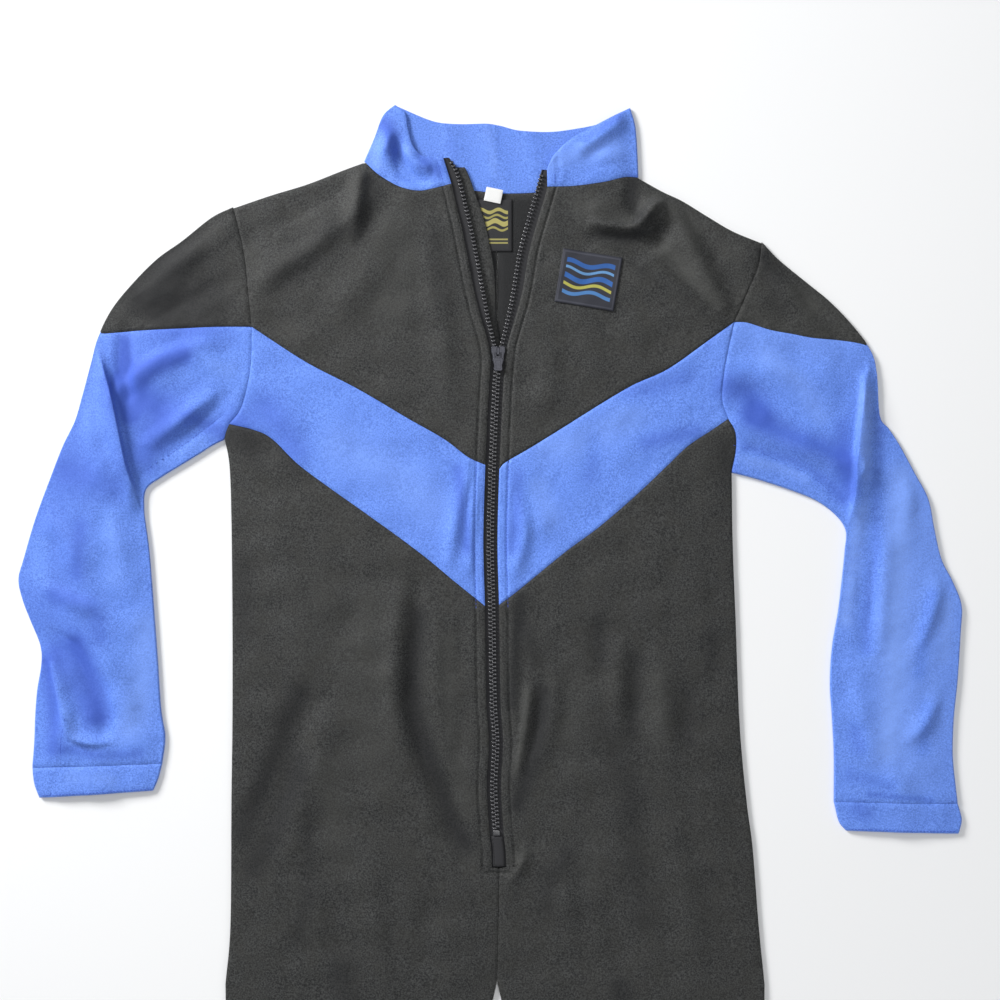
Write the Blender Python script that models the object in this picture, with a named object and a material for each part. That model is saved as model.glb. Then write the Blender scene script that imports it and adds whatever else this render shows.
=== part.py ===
"""Full-length dive skin suit laid flat on its back, with its front zip part open.

Frame: X across the suit, Y from ankles to collar, Z up. The origin is the middle
of the suit's outline on the surface it lies on. The side names are the wearer's,
so "right" lies at -X. All tables are in millimetres.
"""

import math

import bmesh
import bpy
import numpy as np
from mathutils import Matrix

MM = 0.001

# Cloth and how its layers lie on each other (heights above the floor)
WALL = 1.6
SEAM = 0.18
LAYER_GAP = 0.3
FRONT_FLOOR = WALL + LAYER_GAP
LABEL_WALL = 1.0
GUARD_WALL = 1.0
PUFF = 3.6
PUFF_REACH = 32.0
FOLD_BULGE = 1.0

# Zip, a moulded size 8
TAPE_BOTTOM = 4.6
TAPE_WALL = 0.7
TAPE_OUT = 13.0
TEETH_HALF = 1.8
TEETH_PITCH_HALF = 1.95
TEETH_BOTTOM = TAPE_BOTTOM + TAPE_WALL + LAYER_GAP
TEETH_HEIGHT = 2.0
TEETH_TOP = TEETH_BOTTOM + TEETH_HEIGHT
FRONT_OVER_TAPE = TAPE_BOTTOM + TAPE_WALL + 0.6
EDGE_FROM_TEETH = 5.0
EDGE_FROM_TEETH_OPEN = 8.5
EDGE_FROM_TEETH_TOP = 4.0
EDGE_OPENS = (565, 640)
EDGE_CLOSES = (733, 760)
TAPE_REACH = (18, 45)
TAPE_COVER_BELOW = 25.0
FOLD_FROM_EDGE = 14.0
TAPE_SHORTER = 1.0
TEETH_SHORTER = 3.0
ZIP_TOP_RIGHT = 760.0
ZIP_TOP_LEFT = 748.0
ZIP_JOIN = 555.0
TEETH_END = 88.0
ZIP_END = 49.0
CROTCH = (7.0, -65.0)

# How many strips each edge is divided into
NECK_STEPS = 6
SHOULDER_STEPS = 8
CAP_STEPS = 12
CHEVRON_STEPS = 6
UNDERARM_STEPS = 2
ZIP_STEPS = 13
SEAM_STEPS = 6
LEG_STEPS = 10
SLEEVE_STEPS = 26
TAPE_STEPS = 44
TEETH_STEPS = 42
GUARD_STEPS = 30
ARMHOLE_FADE_ROWS = 3.0
BACK_NECK_STEPS = 3
BACK_CAP_STEPS = 4
BACK_BLUE_STEPS = 3
BACK_UNDERARM_STEPS = 1
BACK_SIDE_STEPS = 10
COLLAR_ROWS = 4
CUFF_ROWS = 3

BLACK_KNIT = ((0.030, 0.031, 0.029), 0.85)
BLUE_KNIT = ((0.075, 0.150, 0.760), 0.70)
BLACK_TAPE = ((0.015, 0.015, 0.018), 0.80)
BLACK_PLASTIC = ((0.012, 0.012, 0.014), 0.35)
BLACK_METAL = ((0.020, 0.020, 0.022), 0.30)
PATCH_CLOTH = ((0.020, 0.022, 0.030), 0.60)
WHITE_CLOTH = ((0.850, 0.850, 0.850), 0.70)

# Tooth rows above the slider, and the closed chain below it: columns x, y
ROW_OPEN = {
    "right": [(-43, 760), (-33, 743), (-25, 712), (-18, 682), (-10, 640), (-3, 602),
              (1, 585), (4.1, 571), (6.05, 555)],
    "left": [(55, 760), (53, 746), (46, 720), (38, 693), (30, 663), (23, 620),
             (17, 592), (12.1, 571), (9.95, 555)],
}
CHAIN = [(8, 555), (6, 527), (2.5, 452), (0.5, 376), (2, 311), (3.5, 217),
         (6, 175), (4, 132), (6.5, 85), (9, 49), (7, -65)]

# Seams and edges of each half, from the zip or centre outwards and from top to bottom
OUTLINES = {
    "right": {
        "neck": [(-39, 733), (-58, 728), (-72, 726), (-90, 730), (-111, 742), (-125, 755)],
        "shoulder": [(-125, 755), (-147, 747), (-183, 733), (-219, 722), (-257, 709)],
        "armhole_cap": [(-257, 709), (-251, 686), (-245, 657), (-242, 628), (-238, 590)],
        "armhole_blue": [(-238, 590), (-239, 555), (-243, 529), (-250, 507), (-261, 493)],
        "armhole_low": [(-261, 493), (-264, 486), (-266, 479)],
        "chevron_top": [(-22, 460), (-46, 478), (-81, 498), (-132, 528), (-184, 555),
                        (-238, 590)],
        "chevron_low": [(-36, 336), (-70, 364), (-115, 397), (-156, 426), (-191, 452),
                        (-218, 478), (-236, 487), (-261, 493)],
        "side": [(-266, 479), (-261, 452), (-259, 397), (-258, 297), (-258, 197),
                 (-259, 117), (-260, -8), (-265, -68)],
        "leg_out": [(-265, -68), (-262, -190), (-246, -413), (-230, -633), (-224, -813)],
        "leg_in": [(7, -65), (-16, -173), (-50, -383), (-78, -603), (-94, -813)],
        "back_neck": [(7, 724), (-15, 727), (-50, 730), (-90, 739), (-125, 755)],
        "collar_fold": [(-125, 755), (-115, 778), (-106, 801), (-94, 812)],
        "collar_top": [(-47, 760), (-65, 760), (-76, 769), (-81, 783), (-85, 804), (-94, 812)],
        "collar_back_top": [(11, 792), (-4, 794), (-40, 794), (-61, 798), (-94, 812)],
        "sleeve_out": [(-257, 709), (-279, 698), (-308, 675), (-333, 657), (-357, 633),
                       (-378, 607), (-392, 579), (-399, 553), (-408, 519), (-415, 495),
                       (-427, 470), (-439, 439), (-454, 398), (-466, 357), (-471, 337),
                       (-467, 317), (-459, 296), (-449, 271), (-448, 252), (-452, 227),
                       (-454, 202), (-455, 175), (-457, 149)],
        "sleeve_in": [(-266, 479), (-278, 473), (-294, 463), (-312, 452), (-330, 441),
                      (-345, 429), (-347, 408), (-344, 383), (-342, 366), (-339, 325),
                      (-337, 296), (-334, 253), (-331, 207), (-327, 180), (-330, 153)],
        "cap_line": [(-238, 590), (-272, 590), (-320, 588), (-357, 586), (-380, 584),
                     (-390, 583)],
        "cuff_out": [(-457, 149), (-455, 133), (-450, 119)],
        "cuff_in": [(-330, 153), (-334, 138), (-339, 126)],
        "zip_chevron_top": 452.0,
        "zip_chevron_low": 311.0,
        "zip_neck": 733.0,
    },
    "left": {
        "neck": [(57, 730), (85, 731), (114, 735), (135, 740), (147, 740)],
        "shoulder": [(147, 740), (172, 726), (193, 716), (219, 700), (243, 686), (272, 674)],
        "armhole_cap": [(272, 674), (268, 650), (258, 626), (244, 595)],
        "armhole_blue": [(244, 595), (238, 567), (233, 539), (232, 516), (238, 498)],
        "armhole_low": [(238, 498), (245, 485), (246, 468), (242, 446)],
        "chevron_top": [(16, 455), (40, 469), (74, 490), (109, 512), (143, 532), (178, 548),
                        (219, 577), (244, 595)],
        "chevron_low": [(30, 328), (74, 364), (109, 390), (143, 419), (178, 452),
                        (198, 471), (222, 487), (238, 498)],
        "side": [(242, 446), (243, 375), (246, 296), (250, 192), (257, 115), (263, 69),
                 (269, -8), (275, -68)],
        "leg_out": [(275, -68), (273, -190), (258, -413), (244, -633), (240, -813)],
        "leg_in": [(7, -65), (31, -173), (66, -383), (94, -603), (110, -813)],
        "back_neck": [(7, 724), (44, 725), (90, 730), (120, 735), (147, 740)],
        "collar_fold": [(147, 740), (146, 766), (144, 791), (139, 809)],
        "collar_top": [(57, 748), (64, 762), (82, 779), (104, 791), (139, 809)],
        "collar_back_top": [(11, 792), (31, 787), (60, 786), (85, 789), (110, 794),
                            (124, 800), (139, 809)],
        "sleeve_out": [(272, 674), (289, 656), (317, 633), (339, 615), (362, 591),
                       (381, 565), (387, 542), (390, 500), (399, 487), (410, 470),
                       (425, 442), (438, 417), (444, 387), (451, 357), (462, 335),
                       (471, 311), (470, 283), (467, 237), (463, 197), (462, 161),
                       (465, 130), (467, 113)],
        "sleeve_in": [(242, 446), (266, 440), (303, 428), (329, 417), (348, 402), (357, 387),
                      (356, 367), (354, 345), (350, 308), (344, 271), (342, 234), (344, 201),
                      (346, 161), (346, 115)],
        "cap_line": [(244, 595), (258, 594), (280, 587), (302, 583), (323, 579), (349, 577),
                     (369, 574), (377, 571)],
        "cuff_out": [(467, 113), (471, 97), (468, 83)],
        "cuff_in": [(346, 115), (351, 95), (358, 86)],
        "zip_chevron_top": 448.0,
        "zip_chevron_low": 312.0,
        "zip_neck": 730.0,
    },
}
SIDES = {"right": -1, "left": 1}

# Folds of the upper layer: a ridge (or a trough, where the height is negative)
# along a straight line. Columns: x0, y0, x1, y1, half width, height
FOLDS = [
    # right front, beside the zip and towards the hip
    (-20, 437, -38, 357, 7, 3.0),
    (-72, 307, -76, 212, 10, -3.5),
    (-76, 212, -39, 96, 10, -3.5),
    (-104, 300, -106, 190, 16, 2.0),
    (-184, 207, -224, 84, 13, -3.0),
    (-160, 190, -196, 80, 16, 2.0),
    (-184, 43, -170, -20, 12, 2.0),
    # left front
    (33, 410, 26, 352, 6, 3.0),
    (25, 275, 27, 199, 7, -2.5),
    (36, 217, 30, 148, 7, 3.0),
    (52, 227, 36, 142, 8, -2.5),
    (36, 64, 22, 38, 7, 2.5),
    (109, 275, 145, 195, 12, -2.5),
    (193, 222, 225, 170, 13, -2.5),
    (170, 250, 200, 150, 16, 2.0),
    (73, 50, 80, -10, 12, 2.0),
    # left yoke, pushed up beside the neck
    (150, 693, 170, 714, 7, 8.0),
    (110, 689, 146, 684, 8, 6.0),
    (146, 684, 168, 682, 8, 6.0),
    (144, 734, 143, 705, 8, -4.0),
    (184, 707, 229, 616, 11, 3.5),
    (163, 651, 225, 600, 11, 3.0),
    # right yoke
    (-129, 740, -134, 687, 9, 4.5),
    (-119, 719, -226, 637, 14, 3.0),
    (-90, 700, -160, 600, 18, 2.0),
    # right sleeve
    (-372, 524, -325, 559, 11, 4.0),
    (-325, 559, -290, 572, 11, 4.0),
    (-364, 577, -362, 525, 8, -4.0),
    (-284, 514, -335, 476, 9, 3.5),
    (-400, 560, -385, 523, 9, 6.0),
    (-383, 512, -375, 474, 10, 6.5),
    (-373, 462, -363, 430, 10, 5.0),
    (-446, 267, -429, 222, 8, 4.0),
    (-429, 222, -422, 187, 8, 4.0),
    (-430, 277, -392, 234, 10, -3.0),
    (-392, 234, -380, 185, 10, -3.0),
    (-438, 326, -392, 308, 9, 2.5),
    # left sleeve
    (384, 510, 382, 472, 10, 6.5),
    (381, 460, 377, 432, 10, 6.0),
    (374, 420, 366, 398, 9, 5.0),
    (255, 490, 370, 452, 11, 3.0),
    (262, 528, 300, 505, 11, -2.5),
    (380, 366, 376, 277, 10, -3.0),
    (447, 326, 432, 277, 9, 2.5),
    (444, 213, 425, 182, 9, 3.0),
    # collar
    (-112, 785, -102, 765, 12, 7.0),
    (-86, 748, -84, 742, 9, -4.0),
    (95, 771, 132, 796, 8, 4.0),
    (118, 765, 122, 755, 16, 3.0),
    # legs
    (-150, -60, -118, -180, 14, 2.5),
    (-215, -350, -120, -395, 14, 2.5),
    (-205, -420, -120, -455, 12, 2.0),
    (-180, -640, -130, -690, 12, 2.0),
    (120, -80, 160, -200, 14, 2.5),
    (232, -360, 130, -390, 14, 2.5),
    (220, -430, 128, -470, 12, 2.0),
    (150, -620, 200, -700, 12, 2.0),
]

# Slider, bridge and pull tab: the middle of the slider's upper end, and sizes
SLIDER_X = 8.1
SLIDER_TOP_Y = 571.0
SLIDER_LENGTH = 16.0
SLIDER_HALF_TOP = 7.0
SLIDER_HALF_END = 5.6
SLIDER_FLANGE = 0.8
PLATE_LOW = (3.3, 4.2)
PLATE_TOP = (TEETH_TOP + LAYER_GAP, TEETH_TOP + LAYER_GAP + 1.1)
POST_HALF = 1.3
POST_LENGTH = 3.6
BRIDGE_HALF = 1.4
BRIDGE_LEG = 2.2
BRIDGE_LENGTH = 11.0
BRIDGE_CLEAR = 2.5
BRIDGE_BAR = 1.2
PIVOT_FROM_BRIDGE_END = 3.5
PIVOT_RADIUS = 0.8
PULL_WALL = 1.6
ARM_INNER = 1.8
ARM_OUTER = 3.8
PULL_BODY_START = 5.0
PULL_LENGTH = 18.0
PULL_HALF = 5.0
PULL_HALF_END = 4.2
PULL_WAIST = 3.9
PIVOT_Y = SLIDER_TOP_Y - BRIDGE_LENGTH + PIVOT_FROM_BRIDGE_END
PIVOT_Z = PLATE_TOP[1] + 0.35 + PIVOT_RADIUS

# Guard: its ends, how far it reaches past the teeth, and where that changes
GUARD_LOW = ZIP_END + 30
GUARD_TOP = 750.0
GUARD_REACH = 7.0
GUARD_REACH_OPEN = 16.0
GUARD_REACH_TOP = 11.0
GUARD_WIDENS = (575, 660)
GUARD_NARROWS = (690, 750)
GUARD_BEHIND = 12.0
GUARD_OVER_LABEL = (600, 650)

# Bottom stop and end patch: half widths, and where they lie from the teeth's end and zip's end
STOP_HALF = 3.6
STOP_FROM_TEETH = (6.5, 0.4)
END_PATCH_HALF = 5.9
END_PATCH_FROM = 1.5
END_PATCH_TO = 7.0

# Labels: middle, size and turn in degrees
PATCH_LIFT = 0.5
PATCH_CENTRE = (98.3, 636.8)
PATCH_SIZE = (60.0, 54.0)
PATCH_TURN = -9.5
LABEL_CENTRE = (4.0, 692.0)
LABEL_SIZE = (36.0, 52.0)
TAB_CENTRE = (3.5, 722.0)
TAB_SIZE = (17.0, 14.0)
TAB_TURN = -12.0


def clear_scene():
    """Empties the file of objects."""
    for item in list(bpy.data.objects):
        bpy.data.objects.remove(item, do_unlink=True)


def make_collection(name):
    """Gives the collection of that name, linked to the scene."""
    collection = bpy.data.collections.new(name)
    bpy.context.scene.collection.children.link(collection)
    return collection


def make_material(name, finish, metallic=0.0):
    """A Principled material with a colour, roughness and metallic value."""
    colour, roughness = finish
    material = bpy.data.materials.new(name)
    material.use_nodes = True
    shader = material.node_tree.nodes["Principled BSDF"]
    shader.inputs["Base Color"].default_value = (*colour, 1.0)
    shader.inputs["Roughness"].default_value = roughness
    shader.inputs["Metallic"].default_value = metallic
    material.diffuse_color = (*colour, 1.0)
    return material


def add_object(name, shape, finish, metallic=0.0):
    """Turns a bmesh in millimetres into a named object of the suit."""
    bmesh.ops.scale(shape, vec=(MM, MM, MM), verts=shape.verts)
    bmesh.ops.recalc_face_normals(shape, faces=shape.faces)
    mesh = bpy.data.meshes.new(name)
    shape.to_mesh(mesh)
    shape.free()
    mesh.shade_smooth()
    mesh.set_sharp_from_angle(angle=math.radians(50))
    mesh.materials.append(make_material(name, finish, metallic))
    item = bpy.data.objects.new(name, mesh)
    suit.objects.link(item)
    return item


def smooth(points, steps):
    """A Catmull-Rom curve through the points, cut into equal steps by length."""
    knots = np.array(points, float)
    ends = np.vstack([2 * knots[0] - knots[1], knots, 2 * knots[-1] - knots[-2]])
    t = np.linspace(0, 1, 16, endpoint=False)[:, None]
    pieces = []
    for i in range(len(knots) - 1):
        a, b, c, d = ends[i:i + 4]
        pieces.append(0.5 * (2 * b + (c - a) * t + (2 * a - 5 * b + 4 * c - d) * t ** 2
                             + (3 * b - a - 3 * c + d) * t ** 3))
    pieces.append(knots[-1:])
    return even(np.vstack(pieces), steps)


def even(path, steps):
    """Cuts a polyline into equal steps by length."""
    path = np.asarray(path, float)
    length = np.concatenate([[0], np.cumsum(np.linalg.norm(np.diff(path, axis=0), axis=1))])
    at = np.linspace(0, length[-1], steps + 1)
    return np.column_stack([np.interp(at, length, path[:, 0]), np.interp(at, length, path[:, 1])])


def joined(*curves):
    """One curve from several that meet end to end."""
    return np.vstack([curves[0]] + [curve[1:] for curve in curves[1:]])


def ease(low, high, value):
    """Rises smoothly from 0 at low to 1 at high."""
    t = np.clip((np.asarray(value, float) - low) / (high - low), 0, 1)
    return t * t * (3 - 2 * t)


def table_x(table, y):
    """x at height y on a smooth curve through a table of x, y that runs downwards."""
    path = smooth(table, 12 * len(table))
    return np.interp(y, path[::-1, 1], path[::-1, 0])


def row_x(side, y):
    """Middle of a tooth row at height y: apart above the slider, side by side below."""
    y = np.asarray(y, float)
    closed = table_x(CHAIN, y) + SIDES[side] * TEETH_PITCH_HALF
    return np.where(y >= ZIP_JOIN, table_x(ROW_OPEN[side], y), closed)


def edge_x(side, y):
    """Edge of the cloth beside the zip at height y, further from the teeth in the open part."""
    y = np.asarray(y, float)
    opened = EDGE_FROM_TEETH_OPEN - EDGE_FROM_TEETH
    closed_again = EDGE_FROM_TEETH_OPEN - EDGE_FROM_TEETH_TOP
    margin = EDGE_FROM_TEETH + opened * ease(*EDGE_OPENS, y) - closed_again * ease(*EDGE_CLOSES, y)
    return row_x(side, y) + SIDES[side] * margin


def zip_edge(side, y_from, y_to, steps):
    """The cloth's edge along the zip between two heights."""
    y = np.linspace(y_from, y_to, steps + 1)
    return np.column_stack([edge_x(side, y), y])


def silhouette():
    """Points along the suit's outer edges, where its two layers meet."""
    names = ("shoulder", "side", "leg_out", "leg_in", "sleeve_out", "sleeve_in",
             "cuff_out", "cuff_in", "collar_fold")
    curves = [smooth(OUTLINES[side][name], 60) for side in SIDES for name in names]
    return np.vstack(curves)


EDGES = silhouette()


def distance_to_line(x, y, x0, y0, x1, y1):
    """Distance from points to a straight stretch."""
    along = np.array([x1 - x0, y1 - y0], float)
    t = np.clip(((x - x0) * along[0] + (y - y0) * along[1]) / (along @ along), 0, 1)
    return np.hypot(x - x0 - t * along[0], y - y0 - t * along[1])


def upper_height(points):
    """Underside of the upper layer: puffed away from the outline, with the folds on it."""
    points = np.asarray(points, float)
    x = points[..., 0]
    y = points[..., 1]
    flat = points.reshape(-1, 2)
    near = np.array([np.min(np.hypot(*(EDGES - p).T)) for p in flat]).reshape(x.shape)
    rise = 1 - np.exp(-near / PUFF_REACH)
    height = PUFF * rise
    for x0, y0, x1, y1, half, tall in FOLDS:
        d = distance_to_line(x, y, x0, y0, x1, y1)
        height = height + tall * np.exp(-(d / half) ** 2) * np.minimum(1, near / FOLD_FROM_EDGE)
    height = FRONT_FLOOR + np.maximum(height, 0)
    reach = np.minimum(np.abs(x - row_x("right", y)), np.abs(x - row_x("left", y)))
    over_tape = FRONT_FLOOR + (FRONT_OVER_TAPE - FRONT_FLOOR) * (1 - ease(*TAPE_REACH, reach))
    over_tape = np.where(y > ZIP_END - TAPE_COVER_BELOW, over_tape, FRONT_FLOOR)
    return np.maximum(height, over_tape)


def patch(near, far, first, last):
    """A Coons patch: rows run from the curve near to the curve far, columns first to last."""
    rows = len(first)
    columns = len(near)
    u = np.linspace(0, 1, columns)[None, :, None]
    v = np.linspace(0, 1, rows)[:, None, None]
    across = (1 - v) * near[None] + v * far[None]
    along = (1 - u) * first[:, None] + u * last[:, None]
    corners = ((1 - u) * (1 - v) * near[0] + u * (1 - v) * near[-1]
               + (1 - u) * v * far[0] + u * v * far[-1])
    return across + along - corners


def pulled_in(grid, amount=SEAM):
    """Draws a grid's four edges in by half a seam gap."""
    result = grid.copy()
    for edge, inside in ((np.s_[0], np.s_[1]), (np.s_[-1], np.s_[-2]),
                         (np.s_[:, 0], np.s_[:, 1]), (np.s_[:, -1], np.s_[:, -2])):
        step = grid[inside] - grid[edge]
        step = step / np.linalg.norm(step, axis=-1, keepdims=True)
        result[edge] = result[edge] + amount * step
    return result


def cloth_panel(name, grid, bottom, wall, finish):
    """A wall of cloth over a grid of points, with its underside at the given heights."""
    rows, columns = grid.shape[:2]
    shape = bmesh.new()
    bmesh.ops.create_grid(shape, x_segments=columns - 1, y_segments=rows - 1, size=1)
    shape.verts.ensure_lookup_table()
    heights = np.broadcast_to(bottom, (rows, columns))
    for index, vert in enumerate(shape.verts):
        row, column = divmod(index, columns)
        vert.co = (*grid[row, column], heights[row, column])
    bmesh.ops.triangulate(shape, faces=shape.faces)
    lower = list(shape.faces)
    raised = bmesh.ops.extrude_face_region(shape, geom=lower, use_keep_orig=True)
    upper = [item for item in raised["geom"] if isinstance(item, bmesh.types.BMVert)]
    bmesh.ops.translate(shape, vec=(0, 0, wall), verts=upper)
    return add_object(name, shape, finish)


def lofted_wall(name, outer, inner, open_rows, finish):
    """A wall between an outer and an inner skin, each a grid of rows around the tube.

    The rows counted by open_rows are slit between their first and last points.
    The others close there.
    """
    rows, count = outer.shape[:2]
    shape = bmesh.new()
    outside = [[shape.verts.new(p) for p in row] for row in outer]
    inside = [[shape.verts.new(p) for p in row] for row in inner]
    for i in range(rows - 1):
        for k in range(count - 1):
            shape.faces.new((outside[i][k], outside[i][k + 1],
                             outside[i + 1][k + 1], outside[i + 1][k]))
            shape.faces.new((inside[i][k], inside[i + 1][k],
                             inside[i + 1][k + 1], inside[i][k + 1]))
    for i in range(min(open_rows, rows - 1)):
        for k in (0, count - 1):
            shape.faces.new((outside[i][k], outside[i + 1][k], inside[i + 1][k], inside[i][k]))
    for i in (0, rows - 1):
        for k in range(count - 1):
            shape.faces.new((outside[i][k], outside[i][k + 1], inside[i][k + 1], inside[i][k]))
    bmesh.ops.remove_doubles(shape, verts=shape.verts, dist=0.001)
    bmesh.ops.triangulate(shape, faces=shape.faces)
    return add_object(name, shape, finish)


def unit(vectors):
    """Vectors of length one."""
    return vectors / np.linalg.norm(vectors, axis=-1, keepdims=True)


def folded_rows(front, back):
    """Outer and inner skins of cloth that folds over at the sleeve's or collar's edge.

    front runs to the fold at its last column, back runs from the fold at its first column.
    """
    top = upper_height(front)
    outward = unit(front[:, -1] - front[:, -2])
    outward_low = unit(back[:, 0] - back[:, 1])
    outer_top = np.dstack([front, top + WALL])
    inner_front = front.copy()
    inner_front[:, -1] -= WALL * outward
    inner_top = np.dstack([inner_front, top])
    outer_low = np.dstack([back, np.zeros(back.shape[:2])])
    inner_back = back.copy()
    inner_back[:, 0] -= WALL * outward_low
    inner_low = np.dstack([inner_back, np.full(back.shape[:2], WALL)])
    middle = front[:, -1] + FOLD_BULGE * outward
    half = (top[:, -1] + WALL) / 2
    outer_mid = np.column_stack([middle, half])[:, None]
    inner_mid = np.column_stack([middle - WALL * outward, half])[:, None]
    outer = np.concatenate([outer_top, outer_mid, outer_low], axis=1)
    inner = np.concatenate([inner_top, inner_mid, inner_low], axis=1)
    return outer, inner


def outline(side, name, steps):
    """One of the side's seams or edges, cut into steps."""
    return smooth(OUTLINES[side][name], steps)


def chevron_edge(side, which, steps):
    """A slanted seam across the chest, from the cloth's edge at the zip to the armhole."""
    y = OUTLINES[side]["zip_" + which]
    start = (float(edge_x(side, y)), y)
    return smooth([start] + OUTLINES[side][which], steps)


def neck_seam(side):
    """The front neck seam from the zip to the shoulder."""
    y = OUTLINES[side]["zip_neck"]
    start = (float(edge_x(side, y)), y)
    return smooth([start] + OUTLINES[side]["neck"][1:], NECK_STEPS)


def make_yoke(side):
    """The black shoulder panel above the slanted band."""
    shape = OUTLINES[side]
    wide = NECK_STEPS + SHOULDER_STEPS
    top = joined(neck_seam(side), outline(side, "shoulder", SHOULDER_STEPS))
    low = chevron_edge(side, "chevron_top", wide)
    inner = zip_edge(side, shape["zip_chevron_top"], shape["zip_neck"], CAP_STEPS)
    outer = outline(side, "armhole_cap", CAP_STEPS)[::-1]
    grid = pulled_in(patch(low, top, inner, outer))
    return cloth_panel("yoke_" + side, grid, upper_height(grid), WALL, BLACK_KNIT)


def make_chevron(side):
    """The blue band that slants down to the zip."""
    shape = OUTLINES[side]
    wide = NECK_STEPS + SHOULDER_STEPS
    low = chevron_edge(side, "chevron_low", wide)
    top = chevron_edge(side, "chevron_top", wide)
    inner = zip_edge(side, shape["zip_chevron_low"], shape["zip_chevron_top"], CHEVRON_STEPS)
    outer = outline(side, "armhole_blue", CHEVRON_STEPS)[::-1]
    grid = pulled_in(patch(low, top, inner, outer))
    return cloth_panel("chevron_" + side, grid, upper_height(grid), WALL, BLUE_KNIT)


def centre_seam(steps):
    """The centre-front seam from the zip's end to the crotch."""
    y = np.linspace(ZIP_END, CROTCH[1], steps + 1)
    return np.column_stack([table_x(CHAIN, y), y])


def make_front(side):
    """The black lower front with its leg."""
    shape = OUTLINES[side]
    wide = NECK_STEPS + SHOULDER_STEPS
    top = chevron_edge(side, "chevron_low", wide)
    beside_zip = zip_edge(side, shape["zip_chevron_low"], ZIP_END, ZIP_STEPS)
    jog = np.vstack([beside_zip[-1], centre_seam(SEAM_STEPS)[0]])
    inner = joined(beside_zip, jog, centre_seam(SEAM_STEPS))
    side_steps = len(inner) - 1 - UNDERARM_STEPS
    outer = joined(outline(side, "armhole_low", UNDERARM_STEPS),
                   outline(side, "side", side_steps))
    hip = even([inner[-1], outer[-1]], wide)
    ankle = even([shape["leg_in"][-1], shape["leg_out"][-1]], wide)
    torso = patch(top, hip, inner, outer)
    leg = patch(hip, ankle, outline(side, "leg_in", LEG_STEPS),
                outline(side, "leg_out", LEG_STEPS))
    grid = pulled_in(np.vstack([torso, leg[1:]]))
    return cloth_panel("front_" + side, grid, upper_height(grid), WALL, BLACK_KNIT)


def back_armhole(side):
    """The armhole as the back meets it."""
    return joined(outline(side, "armhole_cap", BACK_CAP_STEPS),
                  outline(side, "armhole_blue", BACK_BLUE_STEPS),
                  outline(side, "armhole_low", BACK_UNDERARM_STEPS))


def make_back(side):
    """The black back with its leg, flat on the floor."""
    shape = OUTLINES[side]
    top = joined(outline(side, "back_neck", BACK_NECK_STEPS),
                 outline(side, "shoulder", BACK_NECK_STEPS))
    outer = joined(back_armhole(side), outline(side, "side", BACK_SIDE_STEPS))
    wide = len(top) - 1
    inner = even([top[0], CROTCH], len(outer) - 1)
    hip = even([CROTCH, outer[-1]], wide)
    ankle = even([shape["leg_in"][-1], shape["leg_out"][-1]], wide)
    torso = patch(top, hip, inner, outer)
    leg = patch(hip, ankle, outline(side, "leg_in", LEG_STEPS),
                outline(side, "leg_out", LEG_STEPS))
    grid = pulled_in(np.vstack([torso, leg[1:]]))
    return cloth_panel("back_" + side, grid, 0.0, WALL, BLACK_KNIT)


def sleeve_edges(side):
    """The sleeve's outer and inner edges, cut so that equal rows face each other."""
    return outline(side, "sleeve_out", SLEEVE_STEPS), outline(side, "sleeve_in", SLEEVE_STEPS)


def cap_seam(side):
    """The seam between the cap and the sleeve, and the row where it meets the outer edge."""
    outer = sleeve_edges(side)[0]
    tip = np.array(OUTLINES[side]["cap_line"][-1], float)
    row = int(np.argmin(np.linalg.norm(outer - tip, axis=1)))
    line = smooth(OUTLINES[side]["cap_line"][:-1] + [tuple(outer[row])], row)
    return line, row


def rows_between(first, last, columns, start_row=None):
    """Straight rows from points of one curve to points of another."""
    u = np.linspace(0, 1, columns + 1)[None, :, None]
    grid = (1 - u) * first[:, None] + u * last[:, None]
    if start_row is not None:
        bulge = start_row - grid[0]
        fade = np.maximum(0, 1 - np.arange(len(first)) / ARMHOLE_FADE_ROWS)[:, None, None]
        grid = grid + bulge[None] * fade
    return grid


def make_cap(side):
    """The black cap over the shoulder, folded along the sleeve's outer edge."""
    outer_edge = sleeve_edges(side)[0]
    line, row = cap_seam(side)
    front = rows_between(line[:row], outer_edge[:row], CAP_STEPS,
                         outline(side, "armhole_cap", CAP_STEPS)[::-1])
    back = rows_between(outer_edge[:row], line[:row], BACK_CAP_STEPS,
                        outline(side, "armhole_cap", BACK_CAP_STEPS))
    front = pulled_along(front, first_column=True, first_row=True)
    back = pulled_along(back, last_column=True, first_row=True)
    outer, inner = folded_rows(front, back)
    return lofted_wall("cap_" + side, outer, inner, row, BLACK_KNIT)


def pulled_along(grid, first_column=False, last_column=False, first_row=False,
                 last_row=False, amount=SEAM):
    """Draws the chosen edges of a grid in by half a seam gap."""
    result = grid.copy()
    picks = []
    if first_column:
        picks.append((np.s_[:, 0], np.s_[:, 1]))
    if last_column:
        picks.append((np.s_[:, -1], np.s_[:, -2]))
    if first_row:
        picks.append((np.s_[0], np.s_[1]))
    if last_row:
        picks.append((np.s_[-1], np.s_[-2]))
    for edge, inside in picks:
        result[edge] = result[edge] + amount * unit(grid[inside] - grid[edge])
    return result


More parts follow.
